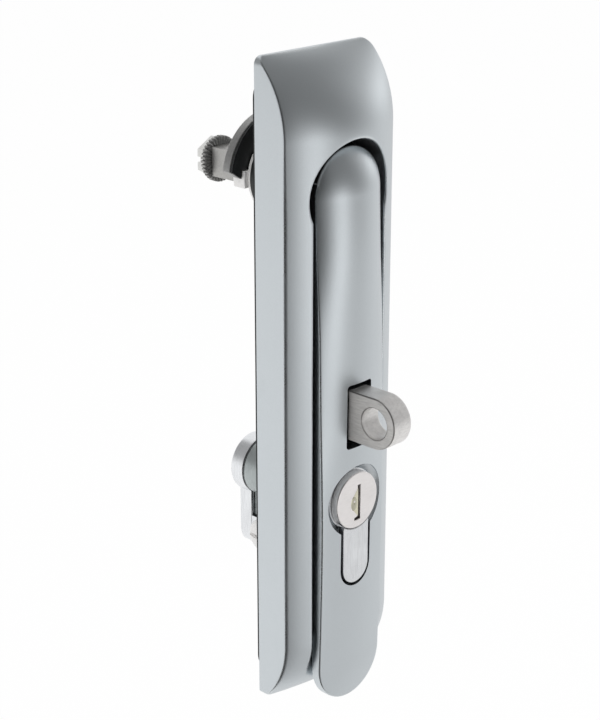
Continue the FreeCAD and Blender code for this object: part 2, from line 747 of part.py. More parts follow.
for name, start in (("leftBoss", "-%s - size.overlap" % inner), ("rightBoss", bossInner)):
    boss = newSketch(lever, name + "Outline", "YZ_Plane", start)
    circle(boss, "size.pivotDepth - size.leverBack", "-size.pivotDepth", "0")
    pad(lever, name, boss, "%s - %s + size.overlap" % (inner, bossInner))
pinHole = newSketch(lever, "pivotHoleOutline", "YZ_Plane", "-size.leverHalfWidth - size.beyond")
circle(pinHole, "size.pivotRadius + size.pivotClearance", "-size.pivotDepth", "0")
pocket(lever, "pivotHole", pinHole, acrossLever, back=True)

# The swivel: a round base on the dish floor with a tongue that carries the pivot pin
swivel = newBody("swivel_head")
parts.append(swivel)
base = newSketch(swivel, "swivelBaseOutline", "XY_Plane")
outline(base, [
    ("size.journalRadius + size.fit", "-size.floorFront"),
    ("size.neckBore - size.fit", "-size.floorFront"),
    ("size.neckBore - size.fit", "size.neckRear"),
    ("size.journalRadius + size.fit", "size.neckRear"),
])
spin(swivel, "swivelSleeve", base, "Y_Axis")
plate = newSketch(swivel, "swivelPlateOutline", "XZ_Plane", "size.floorFront")
circle(plate, "size.neckBore + size.swivelLip")
pad(swivel, "swivelPlate", plate, "size.swivelBase")
tongue = newSketch(swivel, "tongueOutline", "YZ_Plane", "-size.tongueHalf")
outline(tongue, [
    ("-size.pivotDepth", "size.tongueRadius"), ("-size.pivotDepth", "-size.tongueRadius"),
    ("-size.floorFront - size.swivelBase / 2", "-size.tongueRadius"),
    ("-size.floorFront - size.swivelBase / 2", "size.tongueRadius"),
], {0: ("-size.pivotDepth", "0", 1)})
pad(swivel, "tongue", tongue, "2 * size.tongueHalf")
tongueHole = newSketch(swivel, "tongueHoleOutline", "YZ_Plane", "-size.tongueHalf - size.beyond")
circle(tongueHole, "size.pivotRadius + size.fit", "-size.pivotDepth", "0")
pocket(swivel, "tongueHole", tongueHole, "2 * (size.tongueHalf + size.beyond)", back=True)

# The pivot pin lies across the head, just inside the lever's sides
pivotPin = cylinderAlong("pivot_pin", "X", "size.pivotRadius",
                         "-size.leverHalfWidth + size.pivotInset",
                         "size.leverHalfWidth - size.pivotInset", ("-size.pivotDepth", "0"))
pivotPin.Label = "pivot_pin"
parts.append(pivotPin)

# The padlock eye: a thick lug on a foot, with two screws through the dish floor
eye = newBody("padlock_eye")
parts.append(eye)
eyeBack = "-size.eyeThickness / 2"
lug = newSketch(eye, "lugOutline", "YZ_Plane", eyeBack)
outline(lug, [
    ("-size.floorFront", "size.eyePlace - size.eyeRadius"),
    ("-size.floorFront", "size.eyePlace + size.eyeRadius"),
    ("-size.eyeReach", "size.eyePlace + size.eyeRadius"),
    ("-size.eyeReach", "size.eyePlace - size.eyeRadius"),
], {2: ("-size.eyeReach", "size.eyePlace", 1)})
pad(eye, "lug", lug, "size.eyeThickness")
foot = newSketch(eye, "footOutline", "XZ_Plane", "size.floorFront")
footHalf = "(size.eyeRadius + size.slotCorner)"
rectangle(foot, "-size.eyeFootHalfWidth", "size.eyeFootHalfWidth",
          "size.eyePlace - " + footHalf, "size.eyePlace + " + footHalf)
pad(eye, "foot", foot, "size.eyeFootThickness")
hole = newSketch(eye, "padlockHoleOutline", "YZ_Plane", eyeBack + " - size.beyond")
circle(hole, "size.eyeHoleRadius", "-size.eyeReach", "size.eyePlace")
pocket(eye, "padlockHole", hole, "size.eyeThickness + 2 * size.beyond", back=True)
screwHoles = newSketch(eye, "eyeScrewHoles", "XZ_Plane", "size.floorFront - size.beyond")
eyeScrewHeights = ["(size.eyePlace %s size.eyeScrewSpread)" % sign for sign in "+-"]
for height in eyeScrewHeights:
    circle(screwHoles, "size.eyeScrewRadius + size.fit", "0", height)
pocket(eye, "eyeScrewThreads", screwHoles, "size.eyeScrewLength", back=True)


def countersunkScrew(name, radius, tip, rear, side, height):
    # a screw set from behind, its cone flush at the depth rear
    headTall = "size.screwHeadTall * %s" % radius
    shank = cylinderAlong(name + "Shank", "Y", radius, tip, "(%s) - %s / 2" % (rear, headTall),
                          (side, height))
    head = doc.addObject("Part::Cone", name + "Head")
    head.setExpression("Radius1", radius)
    head.setExpression("Radius2", "size.screwHeadWide * %s" % radius)
    head.setExpression("Height", headTall)
    head.Placement = Placement(Vector(), Rotation(Vector(1, 0, 0), -90))
    head.setExpression("Placement.Base.x", side)
    head.setExpression("Placement.Base.y", "(%s) - %s" % (rear, headTall))
    head.setExpression("Placement.Base.z", height)
    return fused(name, [shank, head])


def screwSet(name, radius, tip, rear, side, heights):
    pair = doc.addObject("Part::Compound", name)
    pair.Links = [countersunkScrew("%s%d" % (name, index), radius, tip, rear, side, height)
                  for index, height in enumerate(heights)]
    pair.Label = name
    parts.append(pair)


def countersinks(part, name, radius, rear, side, heights):
    # cone seats for the screws, each turned about its own axis
    wide = "(size.screwHeadWide * %s + size.fit)" % radius
    narrow = "(%s + size.fit)" % radius
    deep = "%s - size.screwHeadTall * %s - size.fit" % (rear, radius)
    mouth = "%s + size.overlap" % rear
    for index, height in enumerate(heights):
        seatDrawing = newSketch(part, "%sSeat%d" % (name, index), "XY_Plane", height)
        outline(seatDrawing, [
            (side, deep), ("%s + %s" % (side, narrow), deep),
            ("%s + %s" % (side, wide), "%s - size.fit" % rear),
            ("%s + %s" % (side, wide), mouth), (side, mouth),
        ])
        groove = part.newObject("PartDesign::Groove", "%sSink%d" % (name, index))
        groove.Profile = seatDrawing
        groove.ReferenceAxis = (axisThrough(part, "%sAxis%d" % (name, index), side, height), ["Edge1"])
        groove.Angle = 360.0


eyeScrewTip = "(-size.floorFront + size.beyond - size.eyeScrewLength + size.screwTipGap)"
screwSet("eye_screws", "size.eyeScrewRadius", eyeScrewTip, "-size.gasketThickness", "0", eyeScrewHeights)
eyeHoles = newSketch(dish, "eyeScrewClearance", "XZ_Plane", "size.gasketThickness - size.beyond")
for height in eyeScrewHeights:
    circle(eyeHoles, "size.eyeScrewRadius + size.fit", "0", height)
throughFloor = "size.floorFront - size.gasketThickness + 2 * size.beyond"
pocket(dish, "eyeScrewBores", eyeHoles, throughFloor, back=True)
countersinks(dish, "eyeScrew", "size.eyeScrewRadius", "-size.gasketThickness", "0", eyeScrewHeights)

# Behind the door: the black collar on the neck and the ring whose lug stops the spindle
collar = newBody("door_collar")
parts.append(collar)
collarOutline = newSketch(collar, "collarOutline", "XY_Plane")
outline(collarOutline, [
    ("size.neckRadius + size.fit", "-size.gasketThickness"),
    ("size.collarRadius", "-size.gasketThickness"),
    ("size.collarRadius", "size.neckRear - size.collarBevel"),
    ("size.collarRadius - size.collarBevel", "size.neckRear"),
    ("size.neckRadius + size.fit", "size.neckRear"),
])
spin(collar, "collarRing", collarOutline, "Y_Axis")

stopRing = newBody("stop_ring")
parts.append(stopRing)
ringOutline = newSketch(stopRing, "stopRingOutline", "XZ_Plane", "-size.neckRear")
circle(ringOutline, "size.stopRingRadius")
circle(ringOutline, "size.flangeRadius + size.freeGap")
pad(stopRing, "stopPlate", ringOutline, "size.stopRingRear - size.neckRear", back=True)
lugOutline = newSketch(stopRing, "stopLugOutline", "XZ_Plane", "-size.stopRingRear + size.overlap")
lugTop = "(size.limitEdge - size.freeGap)"


def onRound(radius, height):
    # how far from the axis a round of this radius stands at this height
    return "sqrt((%s)^2 - (%s)^2)" % (radius, height)


def lugCorner(radius, height, turned):
    side = "-" + onRound(radius, height)
    return ("-(%s)" % height, side) if turned else (side, height)


for turned in (False, True):
    low, high = ("-size.stopLugFoot", lugTop) if not turned else ("-" + lugTop, "size.stopLugFoot")
    outline(lugOutline, [
        lugCorner("size.stopLugOuter", high, turned), lugCorner("size.stopLugOuter", low, turned),
        lugCorner("size.stopLugInner", low, turned), lugCorner("size.stopLugInner", high, turned),
    ], {0: ("0", "0", 1), 2: ("0", "0", -1)})
pad(stopRing, "stopLug", lugOutline, "size.stopLugRear - size.stopRingRear + size.overlap", back=True)

# The spindle: a round journal in the swivel, a flange, and a square end with a tapped hole
spindle = newBody("spindle")
parts.append(spindle)
journal = newSketch(spindle, "journalOutline", "XY_Plane")
outline(journal, [
    ("0", "-size.floorFront"), ("size.journalRadius", "-size.floorFront"),
    ("size.journalRadius", "size.neckRear + size.fit"),
    ("size.flangeRadius", "size.neckRear + size.fit"),
    ("size.flangeRadius", "size.stopRingRear - size.spindleSink"),
    ("0", "size.stopRingRear - size.spindleSink"),
])
spin(spindle, "journal", journal, "Y_Axis")
square = newSketch(spindle, "squareOutline", "XZ_Plane", "-size.stopRingRear + size.overlap")
halfSquare = "(size.spindleSquare / 2)"
rectangle(square, "-" + halfSquare, halfSquare, "-" + halfSquare, halfSquare)
pad(spindle, "squareEnd", square, "size.spindleRear - size.stopRingRear + size.overlap", back=True)
tapped = newSketch(spindle, "tappedOutline", "XZ_Plane", "-size.spindleRear - size.beyond")
circle(tapped, "size.screwRadius + size.fit")
pocket(spindle, "tappedHole", tapped, "size.tappedDepth + size.beyond", back=True)


# The half disc that meets the lug after a quarter turn, and its black liner
def halfDisc(name, radius, front, rear, gap):
    plate = newBody(name)
    parts.append(plate)
    shape = newSketch(plate, name + "Outline", "XZ_Plane", "-(%s)" % rear)
    edge = "size.limitEdge"
    wing = "sqrt((%s)^2 - %s^2)" % (radius, edge)
    hook = "(size.stopLugOuter + size.limitHookGap)"
    hubRadius = "(size.stopLugInner - size.freeGap)"
    hubWing = "sqrt(%s^2 - %s^2)" % (hubRadius, edge)
    outline(shape, [
        (wing, edge), ("-" + wing, edge),
        ("-%s - size.limitHookWidth" % hook, "%s - size.limitHook" % edge),
        ("-" + hook, "%s - size.limitHook" % edge),
        ("-%s + size.limitHookTaper" % hook, edge), ("-" + hubWing, edge), (hubWing, edge),
    ], {0: ("0", "0", 1), 5: ("0", "0", 1)})
    half = "(size.spindleSquare / 2 + %s)" % gap
    rectangle(shape, "-" + half, half, "-" + half, half)
    pad(plate, name + "Plate", shape, "(%s) - (%s)" % (rear, front))
    return plate


halfDisc("limit_disc", "size.limitDiscRadius", "size.limitDiscFront",
         "size.limitDiscFront + size.limitDiscThickness", "size.fit")
halfDisc("limit_disc_liner", "size.limitDiscRadius - size.freeGap",
         "size.limitDiscFront - size.linerThickness", "size.limitDiscFront", "size.fit")

# The toothed washer and the slotted hexagon screw that hold a cam on the square
washer = newBody("lock_washer")
parts.append(washer)
washerOutline = newSketch(washer, "washerOutline", "XZ_Plane", "-size.spindleRear - size.fit")
circle(washerOutline, "size.washerRadius - size.toothDepth")
circle(washerOutline, "size.screwRadius + size.fit")
pad(washer, "washerPlate", washerOutline, "size.washerThickness", back=True)
tooth = newSketch(washer, "toothOutline", "XZ_Plane", "-size.spindleRear - size.fit")
root = "(size.washerRadius - size.toothDepth - size.toothRoot)"
outline(tooth, [
    (root, "-size.toothWidth"), ("size.washerRadius", "-size.toothWidth / 2"),
    ("size.washerRadius", "size.toothWidth / 2"), (root, "size.toothWidth"),
])
toothPad = pad(washer, "tooth", tooth, "size.washerThickness", back=True)
teeth = washer.newObject("PartDesign::PolarPattern", "teeth")
teeth.Originals = [toothPad]
teeth.Axis = ([item for item in washer.Origin.OriginFeatures if item.Role == "Y_Axis"][0], [""])
teeth.Angle = 360.0
teeth.setExpression("Occurrences", "size.teeth")
washer.Tip = teeth

camScrew = newBody("cam_screw")
parts.append(camScrew)
headFront = "(size.spindleRear + size.washerThickness + 2 * size.fit)"
shankOutline = newSketch(camScrew, "camShankOutline", "XZ_Plane", "-" + headFront)
circle(shankOutline, "size.screwRadius")
pad(camScrew, "camShank", shankOutline,
    "%s - size.spindleRear + size.tappedDepth - size.screwTipGap" % headFront)
hexagon = newSketch(camScrew, "hexagonOutline", "XZ_Plane", "-" + headFront)
across = "(size.hexAcrossFlats / sqrt(3))"
outline(hexagon, [("%s * cos(%ddeg)" % (across, turn), "%s * sin(%ddeg)" % (across, turn))
                  for turn in range(30, 390, 60)])
pad(camScrew, "hexHead", hexagon, "size.hexHeight", back=True)
headRear = "(%s + size.hexHeight + size.beyond)" % headFront
crossSlot = newSketch(camScrew, "camSlotOutline", "XZ_Plane", "-" + headRear)
rectangle(crossSlot, "-size.hexAcrossFlats", "size.hexAcrossFlats", "-size.camSlotHalf",
          "size.camSlotHalf")
pocket(camScrew, "camSlot", crossSlot, "size.hexHeight / 2 + size.beyond", back=True)

# The half cylinder: barrel and leg, with a cross slot for the bit and a bore for the plug
cylinder = newBody("cylinder_body")
parts.append(cylinder)
bodyFront = "(size.cylinderFront - size.plugHeadThickness - size.fit)"
bodyRear = "(size.cylinderLength - size.cylinderFront)"
halfLeg = "(size.legWidth / 2)"
barrelShoulder = "(size.plugPlace - sqrt(size.barrelRadius^2 - %s^2))" % halfLeg
profile = newSketch(cylinder, "cylinderProfile", "XZ_Plane", bodyFront)
outline(profile, [
    (halfLeg, barrelShoulder), ("-" + halfLeg, barrelShoulder),
    ("-" + halfLeg, legCentre), (halfLeg, legCentre),
], {0: ("0", "size.plugPlace", 1), 2: ("0", legCentre, 1)})
pad(cylinder, "barrelAndLeg", profile, "%s + %s" % (bodyFront, bodyRear), back=True)
legFront = newSketch(cylinder, "legFrontOutline", "XZ_Plane", bodyFront + " - size.overlap")
headClear = "(size.plugHeadRadius + size.freeGap)"
legTop = "(size.plugPlace - sqrt(%s^2 - %s^2))" % (headClear, halfLeg)
outline(legFront, [
    ("-" + halfLeg, legTop), ("-" + halfLeg, legCentre),
    (halfLeg, legCentre), (halfLeg, legTop),
], {1: ("0", legCentre, 1), 3: ("0", "size.plugPlace", -1)})
pad(cylinder, "legFront", legFront, "size.cylinderFront - size.legRecess - %s + size.overlap" % bodyFront)
bitRear = "(%s + size.bitSlot / 2)" % screwPlace
bore = newSketch(cylinder, "plugBoreOutline", "XZ_Plane", bodyFront + " + size.beyond")
circle(bore, "size.plugRadius + size.fit", "0", "size.plugPlace")
pocket(cylinder, "plugBore", bore, "%s + %s + size.beyond" % (bodyFront, bitRear))
bitCut = newSketch(cylinder, "bitSlotOutline", "XZ_Plane", "-" + bitRear)
circle(bitCut, "size.bitReach + size.bitClear", "0", "size.plugPlace")
pocket(cylinder, "bitSlotCut", bitCut, "size.bitSlot", back=True)
crossBore = newSketch(cylinder, "screwBoreOutline", "YZ_Plane", "-%s - size.beyond" % halfLeg)
circle(crossBore, "size.m5Radius + size.fit", screwPlace, screwHeight)
pocket(cylinder, "screwBore", crossBore, "size.legWidth + 2 * size.beyond", back=True)

# The plug that the key turns, with its wide head, keyway and the brass pin beside it
plug = newBody("cylinder_plug")
parts.append(plug)
plugHead = newSketch(plug, "plugHeadOutline", "XZ_Plane", "size.cylinderFront - size.plugHeadThickness")
circle(plugHead, "size.plugHeadRadius", "0", "size.plugPlace")
pad(plug, "plugHead", plugHead, "size.plugHeadThickness")
rotor = newSketch(plug, "rotorOutline", "XZ_Plane", "size.cylinderFront - size.plugHeadThickness")
circle(rotor, "size.plugRadius", "0", "size.plugPlace")
rotorLength = "(size.cylinderFront - size.plugHeadThickness + %s - size.fit)" % bitRear
pad(plug, "rotor", rotor, rotorLength, back=True)
keyway = newSketch(plug, "keywayOutline", "XZ_Plane", "size.cylinderFront + size.beyond")
keyTop = "(size.plugPlace + size.keySlotHeight * size.keySlotShare)"
keyLow = "(size.plugPlace - size.keySlotHeight * (1 - size.keySlotShare))"
keyRight = "(size.keySlotSide + size.keySlotWidth / 2)"
keyLeft = "(size.keySlotSide - size.keySlotWidth / 2)"
outline(keyway, [
    (keyRight, keyTop), (keyLeft, keyTop), (keyLeft, keyLow + " + size.keySlotWidth"),
    (keyLeft + " - size.keyFoot", keyLow + " + size.keySlotWidth * size.keyFootShare"),
    (keyLeft + " - size.keyFoot", keyLow), (keyRight, keyLow),
])
pocket(plug, "keyway", keyway, "size.keywayDepth + size.beyond")
dimple = newSketch(plug, "keyPinSeat", "XZ_Plane", "size.cylinderFront + size.beyond")
circle(dimple, "size.keyPinRadius + size.fit", "size.keyPinSide", "size.plugPlace")
pocket(plug, "keyPinBore", dimple, "size.keyPinLength + size.beyond")

keyPin = newBody("key_pin")
parts.append(keyPin)
pinShape = newSketch(keyPin, "keyPinOutline", "XY_Plane", "size.plugPlace")
pinFront = "(size.cylinderFront + size.keyPinProud)"
outline(pinShape, [
    ("size.keyPinSide", "-%s + size.keyPinLength" % pinFront),
    ("size.keyPinSide", "-" + pinFront),
    ("size.keyPinSide + size.keyPinRadius", "-%s + size.keyPinRadius" % pinFront),
    ("size.keyPinSide + size.keyPinRadius", "-%s + size.keyPinLength" % pinFront),
], {1: ("size.keyPinSide", "-%s + size.keyPinRadius" % pinFront, 1)})
turned = keyPin.newObject("PartDesign::Revolution", "keyPinRound")
turned.Profile = pinShape
turned.ReferenceAxis = (axisThrough(keyPin, "keyPinAxis", "size.keyPinSide", "size.plugPlace"),
                        ["Edge1"])
turned.Angle = 360.0

# The bit: a ring on the plug with a nose that swings behind the keeper
bit = newBody("lock_bit")
parts.append(bit)
bitFront = "(%s - size.bitSlot / 2 + size.clipThickness + 2 * size.fit)" % screwPlace
bitLength = "(size.bitSlot - size.clipThickness - 4 * size.fit)"
bitShape = newSketch(bit, "bitOutline", "XZ_Plane", "-(%s + %s)" % (bitFront, bitLength))
noseShoulder = "(size.plugPlace - sqrt(size.bitRingRadius^2 - size.bitHalfWidth^2))"
noseEnd = "(size.plugPlace - sqrt(size.bitReach^2 - size.bitHalfWidth^2))"
outline(bitShape, [
    ("size.bitHalfWidth", noseShoulder), ("-size.bitHalfWidth", noseShoulder),
    ("-size.bitHalfWidth", noseEnd), ("size.bitHalfWidth", noseEnd),
], {0: ("0", "size.plugPlace", 1), 2: ("0", "size.plugPlace", 1)})
circle(bitShape, "size.plugRadius + size.fit", "0", "size.plugPlace")
pad(bit, "bitRing", bitShape, bitLength)
clip = newBody("plug_clip")
parts.append(clip)
clipShape = newSketch(clip, "clipOutline", "XZ_Plane", "-(%s - size.fit)" % bitFront)
clipOuter = "(size.bitRingRadius - size.clipInset)"
clipInner = "(size.plugRadius + size.fit)"


def clipPoint(radius, sign):
    return ("%s%s * sin(size.clipGap * 1deg)" % (sign, radius),
            "size.plugPlace + %s * cos(size.clipGap * 1deg)" % radius)


outline(clipShape, [
    clipPoint(clipOuter, "-"), clipPoint(clipOuter, ""),
    clipPoint(clipInner, ""), clipPoint(clipInner, "-"),
], {0: ("0", "size.plugPlace", 1), 2: ("0", "size.plugPlace", -1)})
pad(clip, "clipRing", clipShape, "size.clipThickness")

# The pan-head screw through the leg into the lever's ear
panScrew = newBody("cylinder_screw")
parts.append(panScrew)
headInner = "(-%s - size.fit)" % halfLeg
headOuter = "(%s - size.panHeadHeight)" % headInner
panHead = newSketch(panScrew, "panHeadOutline", "YZ_Plane", headOuter)
circle(panHead, "size.panHeadRadius", screwPlace, screwHeight)
pad(panScrew, "panHead", panHead, "size.panHeadHeight")
panShank = newSketch(panScrew, "panShankOutline", "YZ_Plane", headInner + " - size.overlap")
circle(panShank, "size.m5Radius", screwPlace, screwHeight)
pad(panScrew, "panShank", panShank, "size.legWidth + size.earThickness + 2 * size.fit + size.overlap")
panSlot = newSketch(panScrew, "panSlotOutline", "YZ_Plane", headOuter + " - size.beyond")
pastHead = "size.panHeadRadius + size.beyond"
rectangle(panSlot, "%s - (%s)" % (screwPlace, pastHead), "%s + %s" % (screwPlace, pastHead),
          screwHeight + " - size.panSlotHalf", screwHeight + " + size.panSlotHalf")
pocket(panScrew, "panSlot", panSlot, "size.panHeadHeight / 2 + size.beyond", back=True)

# The keeper on the back of the dish, behind which the bit's nose locks
keeper = newBody("keeper")
parts.append(keeper)
keeperHigh = "(size.plugPlace + size.keeperHalfHeight)"
keeperLow = "(size.plugPlace - size.keeperHalfHeight)"
keeperPlate = newSketch(keeper, "keeperOutline", "XZ_Plane", "size.gasketThickness")
rectangle(keeperPlate, "size.keeperInner", "size.keeperOuter", keeperLow, keeperHigh)
pad(keeper, "keeperBlock", keeperPlate, "size.gasketThickness + size.keeperRear", back=True)
keeperHoles = newSketch(keeper, "keeperScrewHoles", "XZ_Plane", "size.gasketThickness + size.beyond")
keeperHeights = ["(size.plugPlace %s size.keeperScrewSpread)" % sign for sign in "+-"]
keeperRear = "size.keeperRear"
for height in keeperHeights:
    circle(keeperHoles, "size.keeperScrewRadius + size.fit", "size.keeperScrewSide", height)
pocket(keeper, "keeperBores", keeperHoles, "size.gasketThickness + size.keeperRear + 2 * size.beyond")
countersinks(keeper, "keeperScrew", "size.keeperScrewRadius", keeperRear, "size.keeperScrewSide",
             keeperHeights)
keeperTip = "(size.keeperRear - size.keeperScrewLength)"
screwSet("keeper_screws", "size.keeperScrewRadius", keeperTip, keeperRear + " - size.fit",
         "size.keeperScrewSide", keeperHeights)
railBores = newSketch(dish, "keeperScrewBores", "XZ_Plane", "size.gasketThickness - size.beyond")
for height in keeperHeights:
    circle(railBores, "size.keeperScrewRadius + size.fit", "size.keeperScrewSide", height)
pocket(dish, "railBores", railBores,
       "size.beyond - size.gasketThickness - %s + size.screwTipGap" % keeperTip, back=True)

# The rubber rest under the grip, on the raised floor at the tail
buffer = newBody("lever_buffer")
parts.append(buffer)
bufferOutline = newSketch(buffer, "bufferOutline", "XZ_Plane", "size.tailFloor")
rectangle(bufferOutline, "-size.bufferHalfWidth", "size.bufferHalfWidth",
          "size.dishBottom + size.bufferInset", "size.tailStart - size.bufferInset")
pad(buffer, "bufferPad", bufferOutline, "size.bufferThickness")

doc.recompute()
faults = [item.Name for item in doc.Objects if "Invalid" in item.State or "Error" in item.State]
for item in parts:
    if item.Shape.isNull() or not item.Shape.isValid():
        faults.append(item.Label)
if faults:
    raise RuntimeError("not built: " + ", ".join(faults))
for item in parts:
    item.Shape.exportStep("parts/%s.step" % item.Label)
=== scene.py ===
import bmesh
import bpy
import numpy as np
from mathutils import Matrix, Vector
from mathutils.geometry import tessellate_polygon


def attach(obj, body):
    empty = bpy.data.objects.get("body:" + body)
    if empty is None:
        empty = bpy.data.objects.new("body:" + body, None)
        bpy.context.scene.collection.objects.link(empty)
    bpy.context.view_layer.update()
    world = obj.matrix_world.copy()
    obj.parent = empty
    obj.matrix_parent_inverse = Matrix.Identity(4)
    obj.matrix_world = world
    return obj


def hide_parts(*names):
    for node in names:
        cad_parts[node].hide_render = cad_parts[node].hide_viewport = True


# Swing handle latch, in metres: X right, Y into the door, Z up, origin on the spindle axis at the
# door's face. Shapes are worked out in millimetres and scaled when the mesh is made. A point has
# a fourth number, its wear: 1 on an edge that hands and tools rub, 0 on a flat.

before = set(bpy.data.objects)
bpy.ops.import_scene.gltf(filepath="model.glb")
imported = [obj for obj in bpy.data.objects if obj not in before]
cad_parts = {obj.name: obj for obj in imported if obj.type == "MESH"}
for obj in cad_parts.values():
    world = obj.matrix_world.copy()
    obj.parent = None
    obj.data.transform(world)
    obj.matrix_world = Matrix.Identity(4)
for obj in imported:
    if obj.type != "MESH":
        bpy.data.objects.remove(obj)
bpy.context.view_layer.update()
scene = bpy.context.scene
millimetre = 0.001
rootBody = "dish_assembly"
leverBody = "lever_assembly"
plugBody = "lock_plug"
spindleBody = "cam_spindle"
print("frame loaded")


# Shape helpers
def makeMesh(name, points, faces, sharpAngle=35.0, evenNormals=False):
    # joins equal points, turns every face outwards, and keeps edges sharper than the angle hard
    points = np.asarray(points, float)
    mesh = bpy.data.meshes.new(name)
    mesh.from_pydata((points[:, :3] * millimetre).tolist(), [], faces)
    if points.shape[1] > 3:
        mesh.attributes.new("wear", "FLOAT", "POINT").data.foreach_set("value", points[:, 3])
    work = bmesh.new()
    work.from_mesh(mesh)
    bmesh.ops.remove_doubles(work, verts=work.verts, dist=2e-6)
    bmesh.ops.dissolve_degenerate(work, edges=work.edges, dist=1e-6)
    bmesh.ops.recalc_face_normals(work, faces=work.faces)
    work.to_mesh(mesh)
    work.free()
    mesh.shade_smooth()
    mesh.set_sharp_from_angle(angle=np.radians(sharpAngle))
    piece = bpy.data.objects.new(name, mesh)
    scene.collection.objects.link(piece)
    if evenNormals:
        piece.modifiers.new("evenNormals", "WEIGHTED_NORMAL").keep_sharp = True
    return piece


def coat(mesh, material):
    mesh.materials.clear()
    mesh.materials.append(material)


def dress(piece, body, nodes, material):
    # the piece rides on a body, stands for CAD nodes and takes its finish
    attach(piece, body)
    if nodes:
        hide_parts(*nodes)
    coat(piece.data, material)
    return piece


def addPiece(name, shape, body, nodes, material, sharpAngle=50.0, evenNormals=True):
    return dress(makeMesh(name, *shape, sharpAngle, evenNormals), body, nodes, material)


def gridFaces(rows, columns, start=0, closed=False, looped=False):
    # quads between neighbours of a grid whose points run row by row; a closed grid joins its last
    # column to its first, a looped one its last row to its first
    index = np.arange(rows * columns).reshape(rows, columns) + start
    if looped:
        index = np.vstack([index, index[:1]])
    if closed:
        index = np.hstack([index, index[:, :1]])
    corners = np.stack([index[:-1, :-1], index[:-1, 1:], index[1:, 1:], index[1:, :-1]], axis=-1)
    return corners.reshape(-1, 4).tolist()


def flatFaces(loops):
    # triangles that fill a flat outline with holes, for points listed loop by loop
    flat = [[Vector((float(u), float(v), 0.0)) for u, v in loop] for loop in loops]
    return [list(triangle) for triangle in tessellate_polygon(flat)]


def worn(points, wear=0.0):
    # adds the column of wear
    points = np.asarray(points, float)
    return np.column_stack([points, np.broadcast_to(wear, len(points))])


def arcPoints(radius, first, last, count, centre=(0.0, 0.0)):
    # points at even turns, in degrees
    turn = np.radians(np.linspace(first, last, count))
    return np.column_stack([centre[0] + radius * np.cos(turn), centre[1] + radius * np.sin(turn)])


def ring(radius, count=96, centre=(0.0, 0.0)):
    # a whole circle of points
    return arcPoints(radius, 0.0, 360.0 * (1 - 1 / count), count, centre)


def cornerBox(left, right, low, high):
    return np.array([(left, low), (right, low), (right, high), (left, high)], float)


unitSquare = cornerBox(-1, 1, -1, 1)


def roundedBox(half, low, high, corner, count=9):
    # a rectangle about the middle line whose corners are quarter turns
    spots = [(half - corner, low + corner, 270), (half - corner, high - corner, 0),
             (corner - half, high - corner, 90), (corner - half, low + corner, 180)]
    return np.concatenate([arcPoints(corner, turn, turn + 90, count, (u, v))
                           for u, v, turn in spots])


def keyholeLoop(radius, leg, centre, legCentre):
    # a circle with a round-ended leg below it
    start = np.degrees(np.arcsin(leg / radius))
    return np.concatenate([arcPoints(radius, -90 + start, 270 - start, 97, (0, centre)),
                           arcPoints(leg, 180, 360, 49, (0, legCentre))])


def placed(x, depth, z):
    # points from x, depth towards the viewer and height, each a number or an array
    return np.stack(np.broadcast_arrays(x, -np.asarray(depth, float), z), axis=-1).reshape(-1, 3)


def area(loop):
    # half the sum of the cross products of neighbours: above 0 where the loop runs to the left
    u, v = loop[:, 0], loop[:, 1]
    return 0.5 * np.sum(u * np.roll(v, -1) - v * np.roll(u, -1))


def inset(loop, amount):
    # each point moves left of its path, along the bisector of its two edges
    ahead = np.roll(loop, -1, axis=0) - loop
    ahead /= np.maximum(np.linalg.norm(ahead, axis=1), 1e-9)[:, None]
    normal = np.column_stack([-ahead[:, 1], ahead[:, 0]])
    before = np.roll(normal, 1, axis=0)
    both = normal + before
    scale = np.maximum(1 + np.sum(normal * before, axis=1), 0.25)
    return loop + amount * both / scale[:, None]


def prism(loops, low, high, bevel=0.15, steps=3, axis="Y"):
    # An outline with holes carried along an axis. Each rim is a quarter turn from the flat to the
    # wall, with one more row on either side of it so that its wear stays on the rim.
    loops = [np.asarray(loop, float) for loop in loops]
    loops = [loop if (area(loop) > 0) == (index == 0) else loop[::-1]
             for index, loop in enumerate(loops)]
    turn = np.linspace(0.0, np.pi / 2, steps + 1)
    inward = np.concatenate([[1.6 * bevel], bevel * (1 - np.sin(turn)), [0.0]])
    along = np.concatenate([[0.0], bevel * (1 - np.cos(turn)), [1.6 * bevel]])
    wear = np.concatenate([[0.0], np.sin(2 * turn), [0.0]])
    if bevel == 0:
        inward, along, wear = np.zeros((3, 1))
    rows = np.vstack([np.column_stack([inward, low + along, wear]),
                      np.column_stack([inward, high - along, wear])[::-1]])
    points, faces, starts, total = [], [], [], 0
    for loop in loops:
        starts.append(total)
        points += [np.column_stack([inset(loop, row[0]), np.tile(row[1:], (len(loop), 1))])
                   for row in rows]
        faces += gridFaces(len(rows), len(loop), total, True)
        total += len(rows) * len(loop)
    for layer in (0, len(rows) - 1):
        where = np.concatenate([start + layer * len(loop) + np.arange(len(loop))
                                for start, loop in zip(starts, loops)])
        faces += where[flatFaces([inset(loop, rows[layer, 0]) for loop in loops])].tolist()
    order = [2, 0, 1, 3] if axis == "X" else [0, 2, 1, 3]
    return np.concatenate(points)[:, order], faces


def lathe(profile, centre=(0.0, 0.0), count=96, axis="Y"):
    # a closed profile of radius, depth and wear, turned about a line along an axis
    profile = np.asarray(profile, float)
    radius, depth, wear = (profile if profile.shape[1] > 2 else worn(profile)).T
    turn = np.linspace(0, 2 * np.pi, count, endpoint=False)[:, None]
    points = np.stack(np.broadcast_arrays(
        centre[0] + radius * np.cos(turn), depth, centre[1] + radius * np.sin(turn), wear),
        axis=-1).reshape(-1, 4)
    if axis == "X":
        points = points[:, [1, 0, 2, 3]]
    return points, gridFaces(count, len(profile), 0, True, True)


